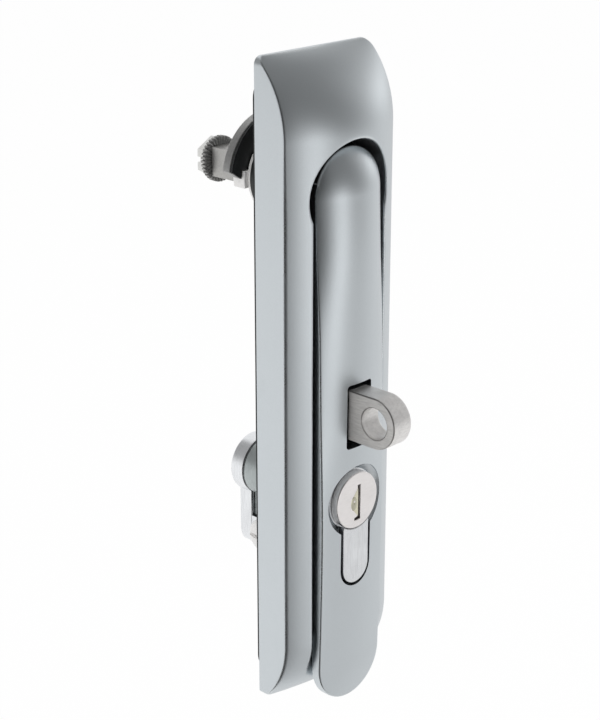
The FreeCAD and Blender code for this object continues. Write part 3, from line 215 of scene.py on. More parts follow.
def bent(share, first, corner, last):
    # a quadratic curve that leaves the first point towards the corner and arrives at the last
    return (1 - share) ** 2 * first + 2 * share * (1 - share) * corner + share ** 2 * last


def turnedProfile(corners, rounding=0.25, steps=4):
    # the corners of a profile, each eased by a curve that leaves one side and joins the next
    corners = np.asarray(corners, float)
    share = np.linspace(0, 1, steps + 1)[:, None]
    rows = []
    earlier, later = np.roll(corners, 1, axis=0), np.roll(corners, -1, axis=0)
    for before, here, after in zip(earlier, corners, later):
        if here[0] < 0.01:
            rows.append([[here[0], here[1], 0.0]])
            continue
        back, ahead = before - here, after - here
        reach = min(rounding, 0.45 * np.linalg.norm(back), 0.45 * np.linalg.norm(ahead))
        first = here + back / np.linalg.norm(back) * reach
        last = here + ahead / np.linalg.norm(ahead) * reach
        rows.append(worn(bent(share, first, here, last), np.sin(np.pi * share[:, 0])))
    return np.concatenate(rows)


def joined(parts):
    # several shapes of points and faces as one
    points, faces, start = [], [], 0
    for some, these in parts:
        points.append(some if some.shape[1] > 3 else worn(some))
        faces += [[corner + start for corner in face] for face in these]
        start += len(some)
    return np.concatenate(points), faces


def softRound(corner, before, after, count=5):
    # rows of points of the curves that leave one side towards a corner and arrive along the other
    share = np.linspace(0.0, 1.0, count + 2)[1:-1, None, None]
    return list(bent(share, before, corner, after))


def smoothThrough(heights, values):
    # natural cubic spline through the stations, as a function of height
    order = np.argsort(heights)
    place, value = np.asarray(heights, float)[order], np.asarray(values, float)[order]
    step, size = np.diff(place), len(place)
    system, known = np.eye(size), np.zeros(size)
    for i in range(1, size - 1):
        system[i, i - 1:i + 2] = step[i - 1], 2 * (step[i - 1] + step[i]), step[i]
        slopes = (value[i + 1] - value[i]) / step[i], (value[i] - value[i - 1]) / step[i - 1]
        known[i] = 6 * (slopes[0] - slopes[1])
    bend = np.linalg.solve(system, known)

    def at(z):
        z = np.clip(z, place[0], place[-1])
        i = np.clip(np.searchsorted(place, z) - 1, 0, size - 2)
        above, below = (place[i + 1] - z) / step[i], (z - place[i]) / step[i]
        return (above * value[i] + below * value[i + 1] + ((above ** 3 - above) * bend[i]
                + (below ** 3 - below) * bend[i + 1]) * step[i] ** 2 / 6)
    return at


def carve(piece, cuts, additions=(), lastCuts=()):
    # cuts shapes away, adds others, cuts once more and keeps the result as the piece's own mesh
    tools = []
    for operation, shapes in (("DIFFERENCE", cuts), ("UNION", additions), ("DIFFERENCE", lastCuts)):
        for shape in shapes:
            step = piece.modifiers.new("step", "BOOLEAN")
            step.operation, step.solver = operation, "EXACT"
            step.object = makeMesh("tool", *shape)
            tools.append(step.object)
    bpy.context.view_layer.update()
    solved = piece.evaluated_get(bpy.context.evaluated_depsgraph_get())
    made = bpy.data.meshes.new_from_object(solved)
    piece.modifiers.clear()
    old, piece.data = piece.data, made
    bpy.data.meshes.remove(old)
    for shape in tools:
        bpy.data.objects.remove(shape, do_unlink=True)
    made.shade_smooth()
    made.set_sharp_from_angle(angle=np.radians(25))
    return piece


# Finishes
class Flow:
    # an output of a node that plain sums and products can be written with
    def __init__(self, tree, socket=None):
        self.tree, self.socket = tree, socket

    def node(self, kind, settings=None, values=None, output=0):
        # a node: its settings first, then a value or a link for each of its sockets
        made = self.tree.nodes.new(kind)
        for name, value in (settings or {}).items():
            setattr(made, name, value)
        for name, value in (values or {}).items():
            if isinstance(value, Flow):
                self.tree.links.new(value.socket, made.inputs[name])
            else:
                made.inputs[name].default_value = value
        return Flow(self.tree, made.outputs[output])

    def maths(self, operation, first, second):
        return self.node("ShaderNodeMath", {"operation": operation}, {0: first, 1: second})

    def __add__(self, other):
        return self.maths("ADD", self, other)

    def __sub__(self, other):
        return self.maths("SUBTRACT", self, other)

    def __rsub__(self, other):
        return self.maths("SUBTRACT", other, self)

    def __mul__(self, other):
        return self.maths("MULTIPLY", self, other)

    __radd__ = __add__
    __rmul__ = __mul__

    def between(self, low, high):
        # 0 below low, 1 above high, with a smooth step between
        return self.node("ShaderNodeMapRange", {"interpolation_type": "SMOOTHSTEP"},
                         {"Value": self, "From Min": low, "From Max": high})

    def mixed(self, first, second):
        # the first colour where this is 0 and the second where it is 1
        return colourMix(self, self, first, second)


def colourMix(start, share, first, second, blend="MIX"):
    # first * (1 - share) + share * the blend of both colours
    return start.node("ShaderNodeMix", {"data_type": "RGBA", "blend_type": blend},
                      {0: share, 6: first, 7: second}, 2)


def grey(level):
    return (level, level, level, 1.0)


def shade(colour, factor=1.0):
    # the colour times the factor, at most 1, with an alpha of 1
    return (*[min(1.0, part * factor) for part in colour], 1.0)


def finish(name, base, **changes):
    # One recipe for every finish: slow clouds of tone, fine grain or brushing in tone, roughness
    # and height, a few scuffs, bare or polished metal where the wear says so, and, where the recipe
    # asks for it, painted shade deep in the channel.
    recipe = {**base, **changes}
    material = bpy.data.materials.new(name)
    material.use_nodes = True
    tree = material.node_tree
    shader = tree.nodes["Principled BSDF"]
    shader.inputs["Specular IOR Level"].default_value = recipe["specular"]
    start = Flow(tree)
    place = start.node("ShaderNodeTexCoord", output="Object")
    rub = start.node("ShaderNodeAttribute", {"attribute_name": "wear"}, output="Fac")

    def noise(scale, detail=2.0, stretch=None, rough=0.5):
        where = place if stretch is None else start.node(
            "ShaderNodeMapping", {"vector_type": "POINT"}, {"Vector": place, "Scale": stretch})
        return start.node("ShaderNodeTexNoise", {"noise_dimensions": "3D"},
                          {"Vector": where, "Scale": scale, "Detail": detail, "Roughness": rough})

    cloud = noise(recipe["cloud"], 3.0)
    grain = noise(recipe["grain"], 2.0, recipe["brush"], 0.6)
    scuff = noise(recipe["scuff"], 4.0, (1.0, 1.0, 0.35), 0.7).between(0.6, 0.76)
    plain, tone, fleck = recipe["colour"], recipe["tone"], 1 - recipe["fleck"]
    colour = cloud.between(0.3, 0.7).mixed(shade(plain, 1 - tone), shade(plain, 1 + tone))
    colour = grain.between(0.25, 0.75).mixed(
        colour, colourMix(start, 1.0, colour, grey(fleck), "MULTIPLY"))
    if recipe["tint"]:
        patch = noise(recipe["cloud"] * 0.6, 2.0).between(0.45, 0.75) * 0.5
        colour = patch.mixed(colour, shade(recipe["tint"]))
    edge = (rub * noise(recipe["chip"], 3.0).between(0.32, 0.62)).between(0.1, 0.8)
    colour = (edge * recipe["bare"]).mixed(colour, shade(recipe["worn"]))
    roughness = recipe["roughness"] + (grain - 0.5) * recipe["uneven"] + (cloud - 0.5) * 0.1
    roughness = roughness + scuff * 0.06 - edge * 0.1
    if recipe["hollow"]:
        # painted shade: within the channel, deeper than a limit that rises towards the left by a
        # set slope, the colour is painted near black, matte and not metallic, where the gaps lie in
        # shade
        apart = start.node("ShaderNodeSeparateXYZ", values={"Vector": place}).socket.node.outputs
        across, along, height = [Flow(tree, apart[letter]) for letter in "XYZ"]
        shallow, floor, wide, tilt = recipe["hollow"]
        lowEnd, highEnd = recipe["hollowEnds"]
        inner = (along - across * tilt + (cloud - 0.5) * 0.0006).between(shallow, floor)
        side = start.maths("ABSOLUTE", across, 0.0)
        inner = inner * (1 - side.between(wide, wide + 0.0002))
        inner = inner * height.between(*lowEnd) * (1 - height.between(*highEnd))
        colour = inner.mixed(colour, shade(recipe["paintedShadeColour"]))
        roughness = roughness + inner * 0.2
        metallic = recipe["metallic"] * (1 - inner)
        tree.links.new(metallic.socket, shader.inputs["Metallic"])
    else:
        shader.inputs["Metallic"].default_value = recipe["metallic"]
    height = grain + scuff * -0.3 + noise(recipe["grain"] * 0.3, 2.0) * 0.5
    bump = start.node("ShaderNodeBump", values={
        "Strength": recipe["strength"], "Distance": recipe["depth"], "Height": height})
    for name, result in (("Base Color", colour), ("Roughness", roughness), ("Normal", bump)):
        tree.links.new(result.socket, shader.inputs[name])
    return material


commonRecipe = {
    "metallic": 0.9, "specular": 0.5, "brush": None, "scuff": 90.0, "chip": 700.0, "bare": 0.6,
    "strength": 0.5, "depth": 0.00003, "tint": None, "hollow": None,
    # the near-black colour and the height limits of the painted shade deep in the channel
    "paintedShadeColour": (0.006, 0.006, 0.006), "hollowEnds": ((-0.1242, -0.1236), (0.0140, 0.0144)),
}
castRecipe = {
    **commonRecipe, "colour": (0.635, 0.675, 0.70), "worn": (0.74, 0.77, 0.78), "metallic": 1.0,
    "roughness": 0.37, "cloud": 28.0, "tone": 0.02, "grain": 5200.0, "fleck": 0.05, "uneven": 0.1,
    "strength": 0.3, "bare": 0.3, "chip": 130.0, "specular": 0.1,
    # the near-black colour of the painted shade in the dish's channel and the lever's hollows
    "paintedShadeColour": (0.005, 0.005, 0.006),
}
# the dish and the lever take painted shade: near black deep in the channel and inside the lever's
# hollows
satinDish = finish("satinDish", castRecipe, hollow=(-0.0106, -0.0096, 0.0145, 0.30))
satinLever = finish("satinLever", castRecipe, hollow=(-0.0150, -0.0140, 0.0112, 0.0))
blackRubber = finish(
    "blackRubber", commonRecipe, colour=(0.018, 0.020, 0.021), worn=(0.06, 0.06, 0.06),
    metallic=0.0, roughness=0.68, cloud=60.0, tone=0.2, grain=2600.0, fleck=0.3, uneven=0.15,
    depth=0.00008)
blackPlastic = finish(
    "blackPlastic", commonRecipe, colour=(0.020, 0.022, 0.023), worn=(0.07, 0.07, 0.072),
    metallic=0.0, roughness=0.5, cloud=50.0, tone=0.12, grain=3600.0, fleck=0.25, uneven=0.12,
    depth=0.00005)
steelRecipe = {
    **commonRecipe, "colour": (0.90, 0.885, 0.87), "worn": (0.20, 0.19, 0.18), "roughness": 0.44,
    "cloud": 120.0, "tone": 0.04, "grain": 900.0, "fleck": 0.12, "uneven": 0.16, "depth": 0.00004,
    # painted shade: the eye's steel goes near black where it runs down into the lever's slot
    "brush": (1.0, 0.25, 2.2), "bare": 0.8, "chip": 60.0, "hollow": (-0.0190, -0.0184, 0.0100, 0.0),
}
blastedSteel = finish("blastedSteel", steelRecipe)
# a darker, less metallic copy of the eye's steel for its flat sides: painted shade
shadedSideSteel = finish("shadedSideSteel", steelRecipe, colour=(0.62, 0.61, 0.595), grain=1400.0, fleck=0.2,
                   roughness=0.5, metallic=0.4)
zincSteel = finish(
    "zincSteel", commonRecipe, colour=(0.77, 0.77, 0.755), worn=(0.9, 0.9, 0.89), roughness=0.36,
    cloud=160.0, tone=0.05, grain=2200.0, fleck=0.1, uneven=0.16, brush=(1.0, 3.0, 1.0),
    tint=(0.74, 0.71, 0.65))
paleZinc = finish(
    "paleZinc", commonRecipe, colour=(0.93, 0.92, 0.91), worn=(0.97, 0.97, 0.97), metallic=0.12,
    roughness=0.42, cloud=110.0, tone=0.03, grain=2600.0, fleck=0.08, uneven=0.14,
    brush=(1.0, 1.0, 0.3))
nickel = finish(
    "nickel", commonRecipe, colour=(0.94, 0.91, 0.90), worn=(0.62, 0.60, 0.58), metallic=1.0,
    roughness=0.32, cloud=140.0, tone=0.03, grain=3000.0, fleck=0.05, uneven=0.14, depth=0.00002,
    brush=(0.15, 1.0, 1.6), bare=0.5, chip=90.0)
nickelBody = finish(
    "nickelBody", commonRecipe, colour=(0.87, 0.885, 0.905), worn=(0.55, 0.56, 0.57), metallic=1.0,
    roughness=0.3, cloud=140.0, tone=0.04, grain=1800.0, fleck=0.14, uneven=0.16, depth=0.00002,
    brush=(2.2, 2.2, 0.12), bare=0.4)
darkSteel = finish(
    "darkSteel", commonRecipe, colour=(0.15, 0.15, 0.15), worn=(0.5, 0.49, 0.47), roughness=0.42,
    cloud=150.0, tone=0.12, grain=2400.0, fleck=0.2, uneven=0.2, depth=0.00006, bare=0.7,
    tint=(0.17, 0.14, 0.12))
sinteredRecipe = {
    **commonRecipe, "colour": (0.40, 0.40, 0.395), "worn": (0.60, 0.59, 0.57), "roughness": 0.46,
    "cloud": 130.0, "tone": 0.07, "grain": 1800.0, "fleck": 0.15, "uneven": 0.2, "depth": 0.00005,
    "bare": 0.5,
}
sinteredSteel = finish("sinteredSteel", sinteredRecipe)
greySteel = finish("greySteel", sinteredRecipe, colour=(0.50, 0.495, 0.48), roughness=0.4,
                   brush=(1.0, 3.0, 1.0))
platedSteel = finish("platedSteel", sinteredRecipe, colour=(0.46, 0.50, 0.50), roughness=0.36,
                     brush=(2.2, 2.2, 0.15))
toothedSteel = finish(
    "toothedSteel", commonRecipe, colour=(0.29, 0.29, 0.285), worn=(0.46, 0.455, 0.445),
    metallic=0.7, roughness=0.55, cloud=150.0, tone=0.1, grain=2600.0, fleck=0.2, uneven=0.15,
    depth=0.00005, bare=0.7)
brass = finish(
    "brass", commonRecipe, colour=(0.80, 0.77, 0.62), worn=(0.90, 0.86, 0.72), metallic=0.85,
    roughness=0.34, cloud=200.0, tone=0.06, grain=3000.0, fleck=0.1, uneven=0.15, depth=0.00002,
    tint=(0.70, 0.64, 0.44))
pinBrass = finish(
    "pinBrass", commonRecipe, colour=(0.56, 0.54, 0.43), worn=(0.90, 0.86, 0.72), metallic=1.0,
    roughness=0.2, cloud=300.0, tone=0.05, grain=3000.0, fleck=0.08, uneven=0.1, depth=0.00001)
print("finishes made")


# Dish
dish = {
    "halfWidth": 20.3, "top": 34.4, "bottom": -142.5, "back": 1.5,
    "crease": 11.65, "crown": 18.15, "corner": 2.2, "tailCorner": 1.2,
    "hoodStart": 14.0, "hoodRoll": 27.0, "hoodCrown": 0.3,
    "tailStart": -124.2, "tailRoll": 26.0, "tailCrown": 3.0,
    "channel": 13.3, "recess": 14.3, "drop": 1.3, "floor": 4.0, "tailFloor": 12.7, "step": -123.9,
    "denseTop": -112.0,  # rows lie closer together below this height
    "creaseRound": 0.65, "rimRound": 1.0, "endRound": 0.35,
    "openingHalf": 11.3, "openingTop": -75.6, "openingBottom": -116.6, "openingCorner": 2.2,
    "neck": 9.0, "neckBore": 6.5, "neckRear": 9.6,
    "fixings": (24.5, -131.0), "fixingRadius": 2.1, "fixingDepth": 9.5,
}


def rollFall(along, roll):
    # how far a roll of that radius has fallen after a way along it
    along = np.clip(along, 0.0, roll)
    return roll - np.sqrt(roll ** 2 - along ** 2)


def crownRoll(length, edgeRoll, crownLeft):
    # the roll that brings the crown down to what is left of it at the end
    fall = dish["crown"] - dish["crease"] - crownLeft + float(rollFall(length, edgeRoll))
    return (fall ** 2 + length ** 2) / (2 * fall)


hoodCrownRoll = crownRoll(dish["top"] - dish["hoodStart"], dish["hoodRoll"], dish["hoodCrown"])
tailCrownRoll = crownRoll(dish["tailStart"] - dish["bottom"], dish["tailRoll"], dish["tailCrown"])


def dishDepth(x, z):
    # an arc from edge to edge whose edges and crown each fall away on a roll at both ends
    hood, tail = z - dish["hoodStart"], dish["tailStart"] - z
    edge = dish["crease"] - rollFall(hood, dish["hoodRoll"]) - rollFall(tail, dish["tailRoll"])
    crown = dish["crown"] - rollFall(hood, hoodCrownRoll) - rollFall(tail, tailCrownRoll)
    rise = crown - edge
    radius = (dish["halfWidth"] ** 2 + rise ** 2) / (2 * rise)
    depth = crown - radius + np.sqrt(np.maximum(radius ** 2 - x ** 2, 0))
    ending = np.clip(dish["endRound"] - (z - dish["bottom"]), 0, dish["endRound"])
    return depth - rollFall(ending, dish["endRound"])


def tailDepth(x, z):
    # the lesser of the front face and the raised floor, with a soft corner between them
    face, flat, soft = dishDepth(x, z), dish["tailFloor"], 0.3
    return 0.5 * (face + flat - np.sqrt((face - flat) ** 2 + soft ** 2))


def dishRays():
    # Plan lines from the outline to the rim: across the sides, then fanned round the recess.
    # Returned as outer x, outer z, rim x, rim z and floor depth, from the lower left round.
    wide, rim, reach = dish["halfWidth"], dish["channel"], dish["recess"]
    fanStart = -dish["drop"] - np.sqrt(reach ** 2 - rim ** 2)
    cornerRows, tailRows, fanRows = 16, 61, 150
    cornerTop = dish["bottom"] + dish["tailCorner"]
    low = np.concatenate([
        cornerTop - dish["tailCorner"] * np.cos(np.linspace(0, np.pi / 2, cornerRows)),
        np.linspace(cornerTop, dish["step"], tailRows + 1)[1:],
        [dish["step"]],
        np.linspace(dish["step"], dish["denseTop"], 20)[1:],
        np.linspace(dish["denseTop"], fanStart, 60)[1:],
    ])
    floor = np.where(np.arange(len(low)) < cornerRows + tailRows, dish["tailFloor"], dish["floor"])
    rise = np.maximum(dish["tailCorner"] - (low - dish["bottom"]), 0)
    outer = wide - dish["tailCorner"] + np.sqrt(np.maximum(dish["tailCorner"] ** 2 - rise ** 2, 0))
    share = np.linspace(0, 1, fanRows)[1:]
    first = np.arcsin((fanStart + dish["drop"]) / reach)
    turn = first * (1 - share) + np.pi / 2 * share
    bow, straight = dish["corner"], dish["top"] - dish["corner"] - fanStart
    bend = bow * np.pi / 2
    walk = share * (straight + bend + wide - bow)
    angle = np.clip((walk - straight) / bow, 0, np.pi / 2)
    fanX = wide - bow + bow * np.cos(angle) - np.maximum(walk - straight - bend, 0)
    fanZ = fanStart + np.minimum(walk, straight) + bow * np.sin(angle)
    right = np.column_stack([
        np.concatenate([outer, fanX]), np.concatenate([low, fanZ]),
        np.concatenate([np.full(len(low), rim), reach * np.cos(turn)]),
        np.concatenate([low, reach * np.sin(turn) - dish["drop"]]),
        np.concatenate([floor, np.full(len(share), dish["floor"])]),
    ])
    return np.concatenate([right, (right[::-1] * np.array([-1, 1, -1, 1, 1]))[1:]])


def dishPieces():
    # Along each ray: the side, a soft crease, the face as an arc, a soft rim, the channel's wall.
    rays = dishRays()
    outer, inner, floor = rays[:, 0:2], rays[:, 2:4], rays[:, 4]
    length = np.linalg.norm(inner - outer, axis=1)
    heading = (inner - outer) / length[:, None]
    raised = floor > dish["floor"] + 1

    def at(distance):
        # distance and depth along each ray
        spot = outer + heading * distance[:, None]
        return np.column_stack([distance, dishDepth(spot[:, 0], spot[:, 1])])

    zero = np.zeros(len(rays))
    edge, rim = at(zero), at(length)
    wallLow = np.where(raised, tailDepth(inner[:, 0], inner[:, 1]), floor)
    creaseRound = np.minimum(dish["creaseRound"], 0.45 * (edge[:, 1] - dish["back"]))
    rimRound = np.clip(0.9 * (rim[:, 1] - wallLow), 0, dish["rimRound"])
    sideTop = np.column_stack([zero, edge[:, 1] - creaseRound])
    wallTop = np.column_stack([length, rim[:, 1] - rimRound])
    ledge = np.maximum(np.minimum(wallTop[:, 1], dish["tailFloor"]), wallLow)
    faceRows, rubbed = 27, (0.4, 0.9, 1.0, 0.9, 0.4)
    face = [at(creaseRound + (length - rimRound - creaseRound) * share)
            for share in np.linspace(0, 1, faceRows)]
    columns = [np.column_stack([zero, np.full(len(rays), dish["back"])]), sideTop,
               *softRound(edge, sideTop, face[0]), *face, *softRound(rim, face[-1], wallTop),
               wallTop, np.column_stack([length, ledge]), np.column_stack([length, wallLow])]
    wear = np.array([0.0, 0.0, *rubbed, *np.zeros(faceRows), *rubbed, 0.0, 0.0, 0.0])
    table = np.stack(columns, axis=1)
    spot = outer[:, None, :] + heading[:, None, :] * table[:, :, :1]
    points = np.stack([spot[..., 0], -table[..., 1], spot[..., 1],
                       np.broadcast_to(wear, table.shape[:2])], axis=-1)
    parts = [(points.reshape(-1, 4), gridFaces(*points.shape[:2]))]
    # raised floor at the tail, the step up to it and the lower end face
    heights = rays[:int(np.sum(raised) // 2), 1]
    across = np.linspace(dish["channel"], -dish["channel"], 61)
    gridX, gridZ = np.meshgrid(across, heights)
    parts.append((placed(gridX, tailDepth(gridX, gridZ), gridZ), gridFaces(*gridX.shape)))
    stepDepths = np.array([tailDepth(across, dish["step"]), np.full(len(across), dish["floor"])])
    parts.append((placed(across, stepDepths, dish["step"]), gridFaces(*stepDepths.shape)))
    lowEdge = placed(across[1:-1], tailDepth(across[1:-1], dish["bottom"]), dish["bottom"])
    loop = np.concatenate([points[0, :, :3], lowEdge, points[-1, ::-1, :3]])
    loop = loop[np.concatenate([[True], np.linalg.norm(np.diff(loop, axis=0), axis=1) > 1e-4])]
    parts.append((loop, flatFaces([loop[:, :2]])))
    # channel floor, back face and the walls of what goes through them
    opening = roundedBox(dish["openingHalf"], dish["openingBottom"], dish["openingTop"],
                         dish["openingCorner"])
    bore, neck = ring(dish["neckBore"]), ring(dish["neck"])
    fixings = [ring(dish["fixingRadius"], 48, (0, height)) for height in dish["fixings"]]
    stepLine = np.column_stack([across[::-1], np.full(len(across), dish["step"])])[1:-1]
    back, front, end = dish["back"], dish["floor"], -dish["neckRear"]

    def sheet(outlines, depth):
        flat = np.concatenate(outlines)
        return placed(flat[:, 0], depth, flat[:, 1]), flatFaces(outlines)

    def wall(loop, *levels):
        closed = np.vstack([loop, loop[:1]])
        return (placed(closed[:, 0], np.array(levels)[:, None], closed[:, 1]),
                gridFaces(len(levels), len(closed)))

    parts += [sheet([np.concatenate([inner[~raised], stepLine]), opening, bore], front),
              sheet([outer, opening, neck, *fixings], back), sheet([neck, bore], end),
              wall(opening, front, back), wall(neck, back, end), wall(bore, front, end)]
    for loop in fixings:
        parts += [wall(loop, back, dish["fixingDepth"]), sheet([loop], dish["fixingDepth"])]
    return joined(parts)


addPiece("dishCasting", dishPieces(), rootBody, ["dish"], satinDish, 40.0, False)
print("dish made")


# Lever
lever = {
    "halfWidth": 12.1, "bottom": -145.5, "drop": 1.3, "back": 5.6, "round": 0.7, "wall": 2.4,
    # height, depth of the edge and depth of the crown
    "stations": ((-1.3, 14.6, 19.7), (-14.0, 15.0, 20.0), (-32.92, 16.0, 19.75),
                 (-59.85, 16.6, 19.5), (-85.1, 17.3, 18.9), (-117.0, 17.0, 18.4),
                 (-133.4, 16.6, 17.8)),
    "headPocket": 14.3, "pocket": 15.0, "endThickness": 3.9, "endChamfer": 2.0, "stepPlace": -123.6,
    "slotHalf": 4.6, "slotTop": -51.25, "slotBottom": -69.3, "slotCorner": 1.0, "pocketMargin": 2.0,
    "plugPlace": -85.1, "seatRadius": 8.55, "seatLeg": 5.8, "legCentre": -104.6,
    "coneRadius": 10.2, "coneBack": 16.3, "coneFront": 17.8, "pivotDepth": 9.5, "lift": 35.0,
    "earInner": 5.05, "ear": 3.0, "gripPocketTop": -112.8, "hollowBack": 4.6, "freeGap": 0.3,
    "pivotBore": 2.55, "bossInner": 7.3,
    "earOutline": ((-6.6, -100.4), (-6.6, -109.0), (12.5, -109.0), (15.0, -106.5), (15.0, -101.9),
                   (13.5, -100.4)),
}
stations = np.array(lever["stations"])
leverEdge = smoothThrough(stations[:, 0], stations[:, 1])
leverCrown = smoothThrough(stations[:, 0], stations[:, 2])
gripCentre = lever["bottom"] + lever["halfWidth"]


def leverBlank():
    # Rays from the outline to the middle line. Along a ray: the side, a round shoulder, then
    # one arc up to the crown.
    half, edgeRound, head = lever["halfWidth"], lever["round"], -lever["drop"]
    sideZ = np.linspace(gripCentre, head, 120)
    headTurn = np.radians(np.linspace(0, 90, 40)[1:])
    gripTurn = np.radians(np.linspace(-90, 0, 40)[:-1])
    outerX = np.concatenate([half * np.cos(gripTurn), np.full(len(sideZ), half),
                             half * np.cos(headTurn)])
    outerZ = np.concatenate([gripCentre + half * np.sin(gripTurn), sideZ,
                             head + half * np.sin(headTurn)])
    outerX = np.concatenate([outerX, -outerX[::-1][1:]])
    outerZ = np.concatenate([outerZ, outerZ[::-1][1:]])
    spineZ = np.clip(outerZ, gripCentre, head)
    edge, crown = leverEdge(spineZ), leverCrown(spineZ)
    rise = crown - edge
    radius = (half ** 2 + rise ** 2) / (2 * rise)
    middle = radius - crown
    side = half - edgeRound
    drop = np.sqrt((radius - edgeRound) ** 2 - side ** 2)
    meet = side * radius / (radius - edgeRound)
    shoulder = drop - middle
    shoulderShare = np.linspace(0, 1, 8)[1:]
    turn = np.arctan2(drop, side)[:, None] * shoulderShare
    inward = meet[:, None] * (1 - np.linspace(0, 1, 22)[1:])
    whole = np.full(len(edge), half)
    reach = np.column_stack([whole, whole, side + edgeRound * np.cos(turn), inward])
    depth = np.column_stack([
        np.full(len(edge), lever["back"]), shoulder, shoulder[:, None] + edgeRound * np.sin(turn),
        np.sqrt(radius[:, None] ** 2 - inward ** 2) - middle[:, None]])
    wear = np.zeros(reach.shape)
    wear[:, 1], wear[:, 2:9] = 0.1, np.sin(np.pi * shoulderShare)
    x = outerX[:, None] * reach / half
    z = spineZ[:, None] + (outerZ - spineZ)[:, None] * reach / half
    points = np.stack([x, -depth, z, wear], axis=-1)
    loop = points[:-1, 0]
    return joined([(points.reshape(-1, 4), gridFaces(*points.shape[:2])),
                   (loop, flatFaces([loop[:, [0, 2]]]))])


def makeLever():
    # the blank less its hollows, slot and seat for the lock, with an ear and two bosses added
    inner, shallow = lever["halfWidth"] - lever["wall"], lever["hollowBack"]
    back, deep, past = 1.0, 30.0, -150.0  # beyond the lever's back, front and lower end
    step, chamfer, margin = lever["stepPlace"], lever["endChamfer"], lever["pocketMargin"]
    headLow = lever["slotTop"] + lever["wall"] + margin

    def through(loop, near, far):
        return prism([loop], -far, -near, 0.0)

    def across(loop, low=-20.0, high=20.0):
        return prism([np.array(loop)], low, high, 0.0, axis="X")

    endBack = stations[-1, 2] - lever["endThickness"]
    swing = lever["pivotDepth"] - dish["floor"] - lever["freeGap"]
    sine, cosine = np.sin(np.radians(lever["lift"])), np.cos(np.radians(lever["lift"]))
    headTop = lever["halfWidth"] - lever["drop"] + 1
    slopeBack = (swing - headTop * sine) / cosine - lever["pivotDepth"]
    slopeLow = (swing - (lever["pivotDepth"] - lever["back"] + 1) * cosine) / sine
    tail = [(-shallow, step + chamfer), (-shallow, past), (-endBack, past), (-endBack, step),
            (-endBack + chamfer, step + chamfer)]
    slope = [(slopeBack, headTop), (-shallow, headTop), (-shallow, slopeLow)]
    headHollow = np.concatenate([arcPoints(inner, 0, 180, 49),
                                 [(-inner, headLow), (inner, headLow)]])
    underEye = cornerBox(-inner, inner, lever["slotBottom"] - margin,
                         lever["slotTop"] + margin + 0.02)
    underGrip = cornerBox(-inner, inner, step + chamfer + lever["wall"], lever["gripPocketTop"])
    slot = roundedBox(lever["slotHalf"], lever["slotBottom"], lever["slotTop"], lever["slotCorner"])
    seat = keyholeLoop(lever["seatRadius"], lever["seatLeg"], lever["plugPlace"],
                       lever["legCentre"])
    cone = lathe([(0.0, -lever["coneBack"]), (lever["seatRadius"], -lever["coneBack"]),
                  (lever["coneRadius"], -lever["coneFront"]), (lever["coneRadius"], -deep),
                  (0.0, -deep)], (0, lever["plugPlace"]), 128)
    pivot, boss = (-lever["pivotDepth"], 0), lever["pivotDepth"] - lever["back"]
    bossLoop, outside = ring(boss, 64, pivot), inner + lever["freeGap"]
    return carve(makeMesh("leverCasting", *leverBlank()), [
        across(tail), across(slope), through(headHollow, shallow, lever["headPocket"]),
        through(underEye, shallow, lever["pocket"]), through(underGrip, shallow, lever["pocket"]),
        through(slot, back, deep), through(seat, back, deep), cone,
    ], [
        across(lever["earOutline"], lever["earInner"], lever["earInner"] + lever["ear"]),
        across(bossLoop, lever["bossInner"], outside),
        across(bossLoop, -outside, -lever["bossInner"]),
    ], [across(ring(lever["pivotBore"], 64, pivot))])


dress(makeLever(), leverBody, ["lever"], satinLever)
print("lever made")


# Padlock eye
eye = {"place": -59.85, "half": 3.4, "radius": 7.0, "hole": 4.3, "reach": 27.3, "foot": 5.8,
       "footHalf": 7.5, "footTall": 8.0, "edge": 0.4}
lug = np.concatenate([arcPoints(eye["radius"], 90, 270, 65, (-eye["reach"], eye["place"])),
                      [(-dish["floor"], eye["place"] - eye["radius"]),
                       (-dish["floor"], eye["place"] + eye["radius"])]])
eyeHole = ring(eye["hole"], 96, (-eye["reach"], eye["place"]))
foot = cornerBox(-eye["footHalf"], eye["footHalf"], eye["place"] - eye["footTall"],
                 eye["place"] + eye["footTall"])
padlockEye = addPiece("padlockEye", joined([
    prism([lug, eyeHole], -eye["half"], eye["half"], eye["edge"], 4, "X"),
    prism([foot], -eye["foot"], -dish["floor"], 0.3),
]), rootBody, ["padlock_eye"], blastedSteel)
# its two flat sides take a darker, less metallic copy of the steel: painted shade on the sides
padlockEye.data.materials.append(shadedSideSteel)
facing = np.zeros(3 * len(padlockEye.data.polygons))
padlockEye.data.polygons.foreach_get("normal", facing)
padlockEye.data.polygons.foreach_set("material_index", (np.abs(facing[0::3]) > 0.98).astype(int))
print("padlock eye made")


